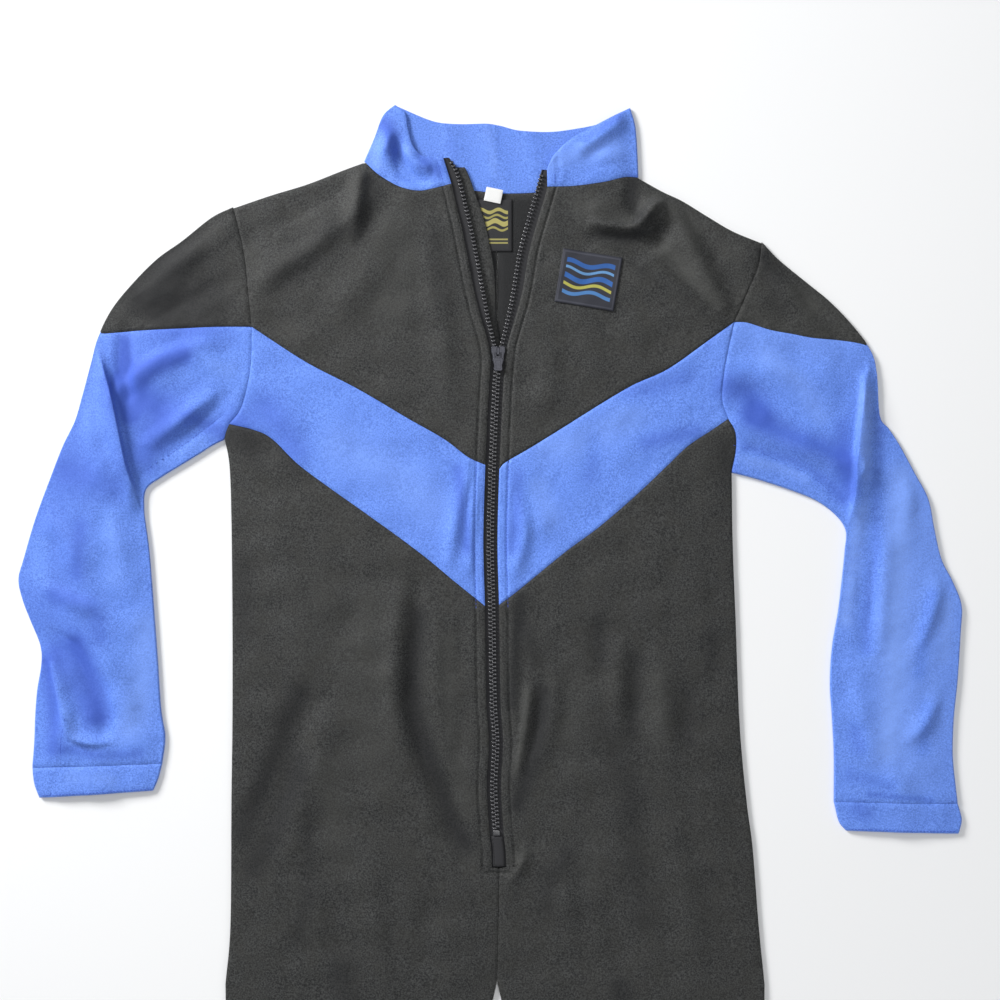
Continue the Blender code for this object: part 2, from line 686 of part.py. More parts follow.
def make_sleeve(side):
    """The blue sleeve: open along the cap's seam at the top, a whole tube below it."""
    outer_edge, inner_edge = sleeve_edges(side)
    line, row = cap_seam(side)
    start = np.vstack([line, outer_edge[row + 1:]])
    blue = CHEVRON_STEPS + UNDERARM_STEPS
    back_blue = BACK_BLUE_STEPS + BACK_UNDERARM_STEPS
    front_start = joined(outline(side, "armhole_blue", CHEVRON_STEPS),
                         outline(side, "armhole_low", UNDERARM_STEPS))
    back_start = joined(outline(side, "armhole_blue", BACK_BLUE_STEPS),
                        outline(side, "armhole_low", BACK_UNDERARM_STEPS))[::-1]
    front = rows_between(start, inner_edge, blue, front_start)
    back = rows_between(inner_edge, start, back_blue, back_start)
    front = pulled_along(front, first_row=True, last_row=True)
    back = pulled_along(back, first_row=True, last_row=True)
    slit = np.s_[:row]
    for grid, edge, inside in ((front, 0, 1), (back, -1, -2)):
        step = unit(grid[slit, inside] - grid[slit, edge])
        grid[slit, edge] = grid[slit, edge] + SEAM * step
    outer, inner = folded_rows(front, back)
    outer, inner = close_tube(outer, inner, row)
    return lofted_wall("sleeve_" + side, outer, inner, row, BLUE_KNIT)


def close_tube(outer, inner, row):
    """Joins the two ends of each row from the given one on, with a round outer edge."""
    rows = outer.shape[0]
    closing_out = np.zeros((rows, 1, 3))
    closing_in = np.zeros((rows, 1, 3))
    outer = outer.copy()
    inner = inner.copy()
    outward = unit(outer[:, 0, :2] - outer[:, 1, :2])
    inner[row:, 0, :2] -= WALL * outward[row:]
    inner[row:, -1, :2] -= WALL * outward[row:]
    closing_out[:, 0, :2] = outer[:, 0, :2] + FOLD_BULGE * outward
    closing_out[:, 0, 2] = outer[:, 0, 2] / 2
    closing_in[:, 0, :2] = closing_out[:, 0, :2] - WALL * outward
    closing_in[:, 0, 2] = outer[:, 0, 2] / 2
    closing_out[:row, 0] = outer[:row, 0]
    closing_in[:row, 0] = inner[:row, 0]
    first_out = np.where(np.arange(rows)[:, None, None] < row, outer[:, -1:], closing_out)
    first_in = np.where(np.arange(rows)[:, None, None] < row, inner[:, -1:], closing_in)
    outer = np.concatenate([closing_out, outer, first_out], axis=1)
    inner = np.concatenate([closing_in, inner, first_in], axis=1)
    return outer, inner


def make_cuff(side):
    """The blue cuff, a short tube."""
    start_out = outline(side, "cuff_out", CUFF_ROWS)
    start_in = outline(side, "cuff_in", CUFF_ROWS)
    blue = CHEVRON_STEPS + UNDERARM_STEPS
    front = rows_between(start_out, start_in, blue)
    back = rows_between(start_in, start_out, BACK_BLUE_STEPS + BACK_UNDERARM_STEPS)
    front = pulled_along(front, first_row=True)
    back = pulled_along(back, first_row=True)
    outer, inner = folded_rows(front, back)
    outer, inner = close_tube(outer, inner, 0)
    return lofted_wall("cuff_" + side, outer, inner, 0, BLUE_KNIT)


def collar_front(side):
    """Rows of the collar's front from the neck seam up, running from the zip to the fold."""
    y = OUTLINES[side]["zip_neck"]
    low = neck_seam(side)
    top = outline(side, "collar_top", NECK_STEPS)
    end = np.column_stack([np.linspace(low[0, 0], top[0, 0], COLLAR_ROWS + 1),
                           np.linspace(y, top[0, 1], COLLAR_ROWS + 1)])
    return patch(low, top, end, outline(side, "collar_fold", COLLAR_ROWS))


def collar_back(side):
    """Rows of the collar's back from the neck seam up, running from the centre to the fold."""
    low = outline(side, "back_neck", BACK_NECK_STEPS)
    top = outline(side, "collar_back_top", BACK_NECK_STEPS)
    centre = even([low[0], top[0]], COLLAR_ROWS)
    return patch(low, top, centre, outline(side, "collar_fold", COLLAR_ROWS))


def make_collar():
    """The standing collar lying flat: its fronts over its back, folded at both sides."""
    skins = []
    for side in ("right", "left"):
        front = pulled_along(collar_front(side), first_row=True)
        back = pulled_along(collar_back(side)[:, ::-1], first_row=True)
        skins.append(folded_rows(front, back))
    outer = np.concatenate([skins[0][0], skins[1][0][:, ::-1][:, 1:]], axis=1)
    inner = np.concatenate([skins[0][1], skins[1][1][:, ::-1][:, 1:]], axis=1)
    return lofted_wall("collar", outer, inner, COLLAR_ROWS, BLUE_KNIT)


def strip_grid(side, top, bottom, steps, inner, outer):
    """A strip beside a tooth row, between two distances outwards from it."""
    y = np.linspace(bottom, top, steps + 1)
    x = row_x(side, y)
    sign = SIDES[side]
    return np.stack([np.column_stack([x + sign * inner, y]),
                     np.column_stack([x + sign * outer, y])], axis=1)


def make_zip():
    """Tapes and tooth rows, apart above the slider and side by side below it."""
    tops = {"right": ZIP_TOP_RIGHT, "left": ZIP_TOP_LEFT}
    for side in SIDES:
        tape = strip_grid(side, tops[side] - TAPE_SHORTER, ZIP_END + TAPE_SHORTER, TAPE_STEPS,
                          -TEETH_HALF, TAPE_OUT)
        cloth_panel("zip_tape_" + side, tape, TAPE_BOTTOM, TAPE_WALL, BLACK_TAPE)
        teeth = strip_grid(side, tops[side] - TEETH_SHORTER, TEETH_END, TEETH_STEPS,
                           -TEETH_HALF, TEETH_HALF)
        cloth_panel("zip_teeth_" + side, teeth, TEETH_BOTTOM, TEETH_HEIGHT, BLACK_PLASTIC)


def make_guard():
    """The strip behind the zip, held at the right front and lying over the neck label."""
    y = np.linspace(GUARD_LOW, GUARD_TOP, GUARD_STEPS + 1)
    reach = (GUARD_REACH + (GUARD_REACH_OPEN - GUARD_REACH) * ease(*GUARD_WIDENS, y)
             - (GUARD_REACH_OPEN - GUARD_REACH_TOP) * ease(*GUARD_NARROWS, y))
    x_out = row_x("right", y) - GUARD_BEHIND
    closed = table_x(CHAIN, np.minimum(y, ZIP_JOIN)) + GUARD_REACH
    x_in = np.where(y > GUARD_WIDENS[0], row_x("right", y) + reach, closed)
    u = np.linspace(0, 1, 3)[None, :, None]
    first = np.column_stack([x_out, y])[:, None]
    last = np.column_stack([x_in, y])[:, None]
    grid = (1 - u) * first + u * last
    over_label = FRONT_FLOOR + (LABEL_WALL + LAYER_GAP) * ease(*GUARD_OVER_LABEL, y)
    heights = np.repeat(over_label[:, None], 3, axis=1)
    return cloth_panel("zip_guard", grid, heights, GUARD_WALL, BLACK_KNIT)


def turned_rectangle(centre, size, turn, columns, rows):
    """A grid of points over a turned rectangle."""
    u = np.linspace(-0.5, 0.5, columns + 1) * size[0]
    v = np.linspace(-0.5, 0.5, rows + 1) * size[1]
    across, along = np.meshgrid(u, v)
    angle = math.radians(turn)
    x = centre[0] + across * math.cos(angle) - along * math.sin(angle)
    y = centre[1] + across * math.sin(angle) + along * math.cos(angle)
    return np.dstack([x, y])


def make_labels():
    """The chest patch on the left yoke, and the neck label and size tab on the back."""
    grid = turned_rectangle(PATCH_CENTRE, PATCH_SIZE, PATCH_TURN, 4, 4)
    cloth_panel("chest_patch", grid, upper_height(grid) + WALL + PATCH_LIFT, LABEL_WALL,
                PATCH_CLOTH)
    grid = turned_rectangle(LABEL_CENTRE, LABEL_SIZE, 0.0, 2, 2)
    cloth_panel("neck_label", grid, FRONT_FLOOR, LABEL_WALL, PATCH_CLOTH)
    grid = turned_rectangle(TAB_CENTRE, TAB_SIZE, TAB_TURN, 1, 1)
    tab_height = FRONT_FLOOR + LABEL_WALL + LAYER_GAP
    cloth_panel("size_tab", grid, tab_height, LABEL_WALL, WHITE_CLOTH)


def block(shape, low, high):
    """Adds a box between two corners to a bmesh and returns its points."""
    made = bmesh.ops.create_cube(shape, size=1.0)["verts"]
    low = np.array(low, float)
    high = np.array(high, float)
    bmesh.ops.scale(shape, vec=tuple(high - low), verts=made)
    bmesh.ops.translate(shape, vec=tuple((high + low) / 2), verts=made)
    return made


def united(name, builders, finish, metallic):
    """One solid made from several overlapping boxes and rods by Boolean unions."""
    pieces = []
    for index, build in enumerate(builders):
        shape = bmesh.new()
        build(shape)
        pieces.append(add_object(name if index == 0 else f"{name}_{index}", shape, finish,
                                 metallic))
    whole = pieces[0]
    for other in pieces[1:]:
        union = whole.modifiers.new("union", "BOOLEAN")
        union.operation = "UNION"
        union.solver = "EXACT"
        union.object = other
        other.hide_render = True
        other.display_type = "WIRE"
        suit.objects.unlink(other)
        cutters.objects.link(other)
    return whole


def taper_plate(shape, heights):
    """A slider plate, wide at its upper end and narrower at its lower end."""
    top = SLIDER_TOP_Y
    made = block(shape, (SLIDER_X - SLIDER_HALF_TOP, top - SLIDER_LENGTH, heights[0]),
                 (SLIDER_X + SLIDER_HALF_TOP, top, heights[1]))
    for vert in made:
        if vert.co.y < top - SLIDER_LENGTH / 2:
            sign = 1 if vert.co.x > SLIDER_X else -1
            vert.co.x = SLIDER_X + sign * SLIDER_HALF_END


def flange(sign):
    """One side wall of the slider, from its upper plate down towards the tape."""
    def build(shape):
        top = SLIDER_TOP_Y
        made = block(shape, (0, top - SLIDER_LENGTH + 0.2, TEETH_BOTTOM),
                     (SLIDER_FLANGE, top - 0.2, PLATE_TOP[0] + 0.4))
        for vert in made:
            low_end = vert.co.y < top - SLIDER_LENGTH / 2
            reach = (SLIDER_HALF_END if low_end else SLIDER_HALF_TOP) - 0.1
            vert.co.x = SLIDER_X + sign * (reach - vert.co.x)
    return build


def make_slider():
    """The slider: two plates joined by a post, two side walls, and the pull tab's bridge."""
    top = SLIDER_TOP_Y
    crown = PLATE_TOP[1] + BRIDGE_CLEAR

    def lower_plate(shape):
        taper_plate(shape, PLATE_LOW)

    def upper_plate(shape):
        taper_plate(shape, PLATE_TOP)

    def post(shape):
        block(shape, (SLIDER_X - POST_HALF, top - POST_LENGTH, PLATE_LOW[0] + 0.2),
              (SLIDER_X + POST_HALF, top - 0.3, PLATE_TOP[1] - 0.2))

    def upper_leg(shape):
        block(shape, (SLIDER_X - BRIDGE_HALF, top - BRIDGE_LEG, PLATE_TOP[0] + 0.3),
              (SLIDER_X + BRIDGE_HALF, top - 0.5, crown + 0.3))

    def lower_leg(shape):
        block(shape, (SLIDER_X - BRIDGE_HALF, top - BRIDGE_LENGTH, PLATE_TOP[0] + 0.3),
              (SLIDER_X + BRIDGE_HALF, top - BRIDGE_LENGTH + BRIDGE_LEG, crown + 0.3))

    def crossbar(shape):
        block(shape, (SLIDER_X - BRIDGE_HALF + 0.1, top - BRIDGE_LENGTH + 0.1, crown),
              (SLIDER_X + BRIDGE_HALF - 0.1, top - 0.6, crown + BRIDGE_BAR))

    builders = [upper_plate, lower_plate, post, flange(-1), flange(1), upper_leg, lower_leg,
                crossbar]
    return united("zip_slider", builders, BLACK_METAL, 0.6)


def make_pull():
    """The pull tab: a rod under the bridge, two arms and a waisted tab."""
    low = PIVOT_Z - PULL_WALL / 2
    high = PIVOT_Z + PULL_WALL / 2

    def tab(shape):
        start = PIVOT_Y - PULL_BODY_START
        end = PIVOT_Y - PULL_LENGTH
        bmesh.ops.create_grid(shape, x_segments=2, y_segments=6, size=1)
        for vert in shape.verts:
            along = (1 - vert.co.y) / 2
            half = PULL_HALF + (PULL_HALF_END - PULL_HALF) * along
            half = half - (PULL_HALF - PULL_WAIST) * math.exp(-((along - 0.55) / 0.15) ** 2)
            vert.co.x = SLIDER_X + vert.co.x * half
            vert.co.y = start + (end - start) * along
            vert.co.z = low
        made = bmesh.ops.extrude_face_region(shape, geom=list(shape.faces), use_keep_orig=True)
        upper = [item for item in made["geom"] if isinstance(item, bmesh.types.BMVert)]
        bmesh.ops.translate(shape, vec=(0, 0, PULL_WALL), verts=upper)

    def arm(sign):
        def build(shape):
            edges = sorted((sign * ARM_INNER, sign * ARM_OUTER))
            block(shape, (SLIDER_X + edges[0], PIVOT_Y - PULL_BODY_START - 1, low + 0.05),
                  (SLIDER_X + edges[1], PIVOT_Y + PIVOT_RADIUS, high - 0.05))
        return build

    def rod(shape):
        made = bmesh.ops.create_cone(shape, cap_ends=True, segments=12,
                                     radius1=PIVOT_RADIUS - 0.1, radius2=PIVOT_RADIUS - 0.1,
                                     depth=2 * ARM_OUTER - 0.4)["verts"]
        bmesh.ops.rotate(shape, verts=made, cent=(0, 0, 0),
                         matrix=Matrix.Rotation(math.pi / 2, 3, "Y"))
        bmesh.ops.translate(shape, vec=(SLIDER_X, PIVOT_Y, PIVOT_Z), verts=made)

    return united("zip_pull", [tab, arm(-1), arm(1), rod], BLACK_METAL, 0.6)


def make_zip_ends():
    """The bottom stop below the last teeth, and the cloth patch sewn over the tape's end."""
    middle = float(table_x(CHAIN, TEETH_END - 3))
    low_end = TEETH_END - STOP_FROM_TEETH[0]
    high_end = TEETH_END - STOP_FROM_TEETH[1]
    shape = bmesh.new()
    block(shape, (middle - STOP_HALF, low_end, TEETH_BOTTOM),
          (middle + STOP_HALF, high_end, TEETH_TOP))
    add_object("zip_stop", shape, BLACK_PLASTIC)
    y = np.linspace(ZIP_END + END_PATCH_FROM, TEETH_END - END_PATCH_TO, 5)
    centre = table_x(CHAIN, y)
    grid = np.stack([np.column_stack([centre - END_PATCH_HALF, y]),
                     np.column_stack([centre + END_PATCH_HALF, y])], axis=1)
    cloth_panel("zip_end_patch", grid, TEETH_BOTTOM, LABEL_WALL, BLACK_TAPE)


clear_scene()
suit = make_collection("wetsuit")
cutters = make_collection("cutters")
for wearer_side in SIDES:
    make_back(wearer_side)
    make_front(wearer_side)
    make_chevron(wearer_side)
    make_yoke(wearer_side)
    make_cap(wearer_side)
    make_sleeve(wearer_side)
    make_cuff(wearer_side)
make_collar()
make_zip()
make_zip_ends()
make_guard()
make_labels()
make_slider()
make_pull()
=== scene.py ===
import math

import bmesh
import bpy
import numpy as np
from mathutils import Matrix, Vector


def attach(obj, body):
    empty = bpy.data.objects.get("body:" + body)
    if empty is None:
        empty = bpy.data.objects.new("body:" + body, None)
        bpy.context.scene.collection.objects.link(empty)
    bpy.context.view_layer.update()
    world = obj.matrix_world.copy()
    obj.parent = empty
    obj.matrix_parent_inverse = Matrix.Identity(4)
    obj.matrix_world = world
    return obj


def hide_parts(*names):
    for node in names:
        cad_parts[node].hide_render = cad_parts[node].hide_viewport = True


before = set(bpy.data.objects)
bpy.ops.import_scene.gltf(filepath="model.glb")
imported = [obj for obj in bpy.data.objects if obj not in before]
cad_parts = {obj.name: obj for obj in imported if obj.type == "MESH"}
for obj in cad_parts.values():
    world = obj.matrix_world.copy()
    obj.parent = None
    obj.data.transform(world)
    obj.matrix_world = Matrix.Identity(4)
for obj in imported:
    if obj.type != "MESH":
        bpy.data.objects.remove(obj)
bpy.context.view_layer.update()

mm = 0.001

# Tables are in millimetres, in the frame's own X and Y. Right and left are the wearer's,
# so the right side lies at -X.
sideSign = {"right": -1, "left": 1}

layers = {
    "wall": 1.6,  # thickness of the knit
    "gap": 0.3,  # between layers that lie on each other
    "seam": 0.13,  # each panel stops this far short of its seam line
    "puff": 4.2,  # how far the front stands off the back
    "puffReach": 32,  # it rises to that over this distance from the outline
    "hold": 14,  # creases and ripples fade this close to the outline
    "lowest": 0.35,  # how softly a trough levels out on the back layer
    "overTape": 5.9,  # underside of the front where it covers the zip tape
    "tapeReach": (18, 45),  # full height up to, none beyond
    "tapeBelow": 25,  # it still rises this far below the zip
    "tapeBlend": (0.25, 0.8),  # rounds the line where the two heights meet
    "foldBulge": 1.6,  # round edge of cloth that folds over
    "seamDip": 0.75,  # cloth rolls down into a seam
    "backDip": 0.5,  # the same on the back panels
    "foldDip": 0.35,  # and under a sleeve
    "seamLift": 0.1,  # the underside rises a little there
    "seamWidth": 1.5,
    "grooveFrom": 9,  # the zip's topstitching, from the cloth's edge
    "grooveDepth": 1.15,
    "grooveHalf": 1.35,
    "groovePull": (0.85, 0.15, 6.1, 17.3),  # least pull, its swing, two wave lengths
    "seamLine": 0.8,  # depth and half width of the sleeves' underarm seams
    "seamLineHalf": 1.8,
    "creaseGain": 1.65,  # every crease's height is multiplied by this
    "creaseEnds": (0.12, 0.76, 0.7),  # start and share of a half sine wave, and its power
    "ripples": ((3, 34, 80, 0.55), (5, 12, 26, 0.15)),  # seed, shortest, longest, height
    "rippleWaves": 7,
    "pucker": (11, 6, 11, 0.22, 8),  # the same beside seams, and how far they reach
    "puckerWaves": 9,
}

meshSize = {
    "front": 3.6,  # spacing of the front cloth's points
    "sleeve": 2.7,
    "cuff": 3,
    "collar": 2.6,
    "leg": 6,
    "back": 9,
    "besideZip": (3, 18, 0.9),  # finer columns from, to, apart
    "edge": (0.5, 1.2, 2.2),  # extra rows this far from each seam
}

zipSizes = {
    "tapeBottom": 4.6,
    "tapeWall": 0.7,
    "teethBottom": 5.05,
    "teethTop": 7.55,
    "rowHalf": 1.95,  # middle of a tooth row from the closed chain's middle
    "pitch": 3.9,
    "join": 555,  # the slider's lower end, where the rows come together
    "top": {"right": 760, "left": 748},
    "teethEnd": 88,
    "end": 49,  # the tape's lower end
    "stitchEnd": 45,  # the topstitching turns here, below the zip
    "edgeClosed": 5,  # cloth's edge from the middle of its tooth row
    "edgeOpen": 8.5,  # the same where the zip is open
    "edgeTop": 4,  # and at the collar
    "openFrom": (565, 640),  # it widens between these heights
    "topFrom": (733, 760),  # and narrows again between these
}

# middle of a tooth row above the slider, and of the closed chain below it
rowOpen = {
    "right": [(-43, 760), (-33, 743), (-25, 712), (-18, 682), (-10, 640), (-3, 602),
              (1, 585), (4.1, 571), (6.05, 555)],
    "left": [(55, 760), (53, 746), (46, 720), (38, 693), (30, 663), (23, 620),
             (17, 592), (12.1, 571), (9.95, 555)],
}
chainLine = [(8, 555), (6, 527), (2.5, 452), (0.5, 376), (2, 311), (3.5, 217),
             (6, 175), (4, 132), (6.5, 85), (9, 49), (7, -65)]
crotch = (7, -65)

# Seams and edges as seen from the front. Each is a smooth line through its points; the last
# three values are heights at which a seam meets the zip.
outlines = {
    "right": {
        "neck": [(-39, 733), (-58, 728), (-72, 726), (-90, 730), (-111, 742), (-125, 755)],
        "shoulder": [(-125, 755), (-147, 747), (-183, 733), (-219, 722), (-257, 709)],
        "armholeCap": [(-257, 709), (-251, 686), (-245, 657), (-242, 628), (-238, 590)],
        "armholeBlue": [(-238, 590), (-239, 555), (-243, 529), (-250, 507), (-261, 493)],
        "armholeLow": [(-261, 493), (-264, 486), (-266, 479)],
        "chevronTop": [(-22, 460), (-46, 478), (-81, 498), (-132, 528), (-184, 555), (-238, 590)],
        "chevronLow": [(-36, 336), (-70, 364), (-115, 397), (-156, 426), (-191, 452), (-218, 478),
         (-236, 487), (-261, 493)],
        "side": [(-266, 479), (-261, 452), (-259, 397), (-258, 297), (-258, 197), (-259, 117),
         (-260, -8), (-265, -68)],
        "legOut": [(-265, -68), (-262, -190), (-246, -413), (-230, -633), (-224, -813)],
        "legIn": [(7, -65), (-16, -173), (-50, -383), (-78, -603), (-94, -813)],
        "backNeck": [(7, 724), (-15, 727), (-50, 730), (-90, 739), (-125, 755)],
        "collarFold": [(-125, 755), (-115, 778), (-106, 801), (-94, 812)],
        "collarTop": [(-47, 760), (-65, 760), (-76, 769), (-81, 783), (-85, 804), (-94, 812)],
        "collarBackTop": [(11, 792), (-4, 794), (-40, 794), (-61, 798), (-94, 812)],
        "sleeveOut": [(-257, 709), (-279, 698), (-308, 675), (-333, 657), (-357, 633), (-378, 607),
         (-392, 579), (-399, 553), (-408, 519), (-415, 495), (-427, 470), (-439, 439),
         (-454, 398), (-466, 357), (-471, 337), (-467, 317), (-459, 296), (-449, 271),
         (-448, 252), (-452, 227), (-454, 202), (-455, 175), (-457, 149)],
        "sleeveIn": [(-266, 479), (-278, 473), (-294, 463), (-312, 452), (-330, 441), (-345, 429),
         (-347, 408), (-344, 383), (-342, 366), (-339, 325), (-337, 296), (-334, 253),
         (-331, 207), (-327, 180), (-330, 153)],
        "capLine": [(-238, 590), (-272, 590), (-320, 588), (-357, 586), (-380, 584), (-390, 583)],
        "cuffOut": [(-457, 149), (-455, 133), (-450, 119)],
        "cuffIn": [(-330, 153), (-334, 138), (-339, 126)],
        "zipChevronTop": 452,
        "zipChevronLow": 311,
        "zipNeck": 733,
    },
    "left": {
        "neck": [(57, 730), (85, 731), (114, 735), (135, 740), (147, 740)],
        "shoulder": [(147, 740), (172, 726), (193, 716), (219, 700), (243, 686), (272, 674)],
        "armholeCap": [(272, 674), (268, 650), (258, 626), (244, 595)],
        "armholeBlue": [(244, 595), (238, 567), (233, 539), (232, 516), (238, 498)],
        "armholeLow": [(238, 498), (245, 485), (246, 468), (242, 446)],
        "chevronTop": [(16, 455), (40, 469), (74, 490), (109, 512), (143, 532), (178, 548),
         (219, 577), (244, 595)],
        "chevronLow": [(30, 328), (74, 364), (109, 390), (143, 419), (178, 452), (198, 471),
         (222, 487), (238, 498)],
        "side": [(242, 446), (243, 375), (246, 296), (250, 192), (257, 115), (263, 69), (269, -8),
         (275, -68)],
        "legOut": [(275, -68), (273, -190), (258, -413), (244, -633), (240, -813)],
        "legIn": [(7, -65), (31, -173), (66, -383), (94, -603), (110, -813)],
        "backNeck": [(7, 724), (44, 725), (90, 730), (120, 735), (147, 740)],
        "collarFold": [(147, 740), (146, 766), (144, 791), (139, 809)],
        "collarTop": [(57, 748), (64, 762), (82, 779), (104, 791), (139, 809)],
        "collarBackTop": [(11, 792), (31, 787), (60, 786), (85, 789), (110, 794), (124, 800),
         (139, 809)],
        "sleeveOut": [(272, 674), (289, 656), (317, 633), (339, 615), (362, 591), (381, 565),
         (387, 542), (390, 500), (399, 487), (410, 470), (425, 442), (438, 417), (444, 387),
         (451, 357), (462, 335), (471, 311), (470, 283), (467, 237), (463, 197), (462, 161),
         (465, 130), (467, 113)],
        "sleeveIn": [(242, 446), (266, 440), (303, 428), (329, 417), (348, 402), (357, 387),
         (356, 367), (354, 345), (350, 308), (344, 271), (342, 234), (344, 201), (346, 161),
         (346, 115)],
        "capLine": [(244, 595), (258, 594), (280, 587), (302, 583), (323, 579), (349, 577),
         (369, 574), (377, 571)],
        "cuffOut": [(467, 113), (471, 97), (468, 83)],
        "cuffIn": [(346, 115), (351, 95), (358, 86)],
        "zipChevronTop": 448,
        "zipChevronLow": 312,
        "zipNeck": 730,
    },
}

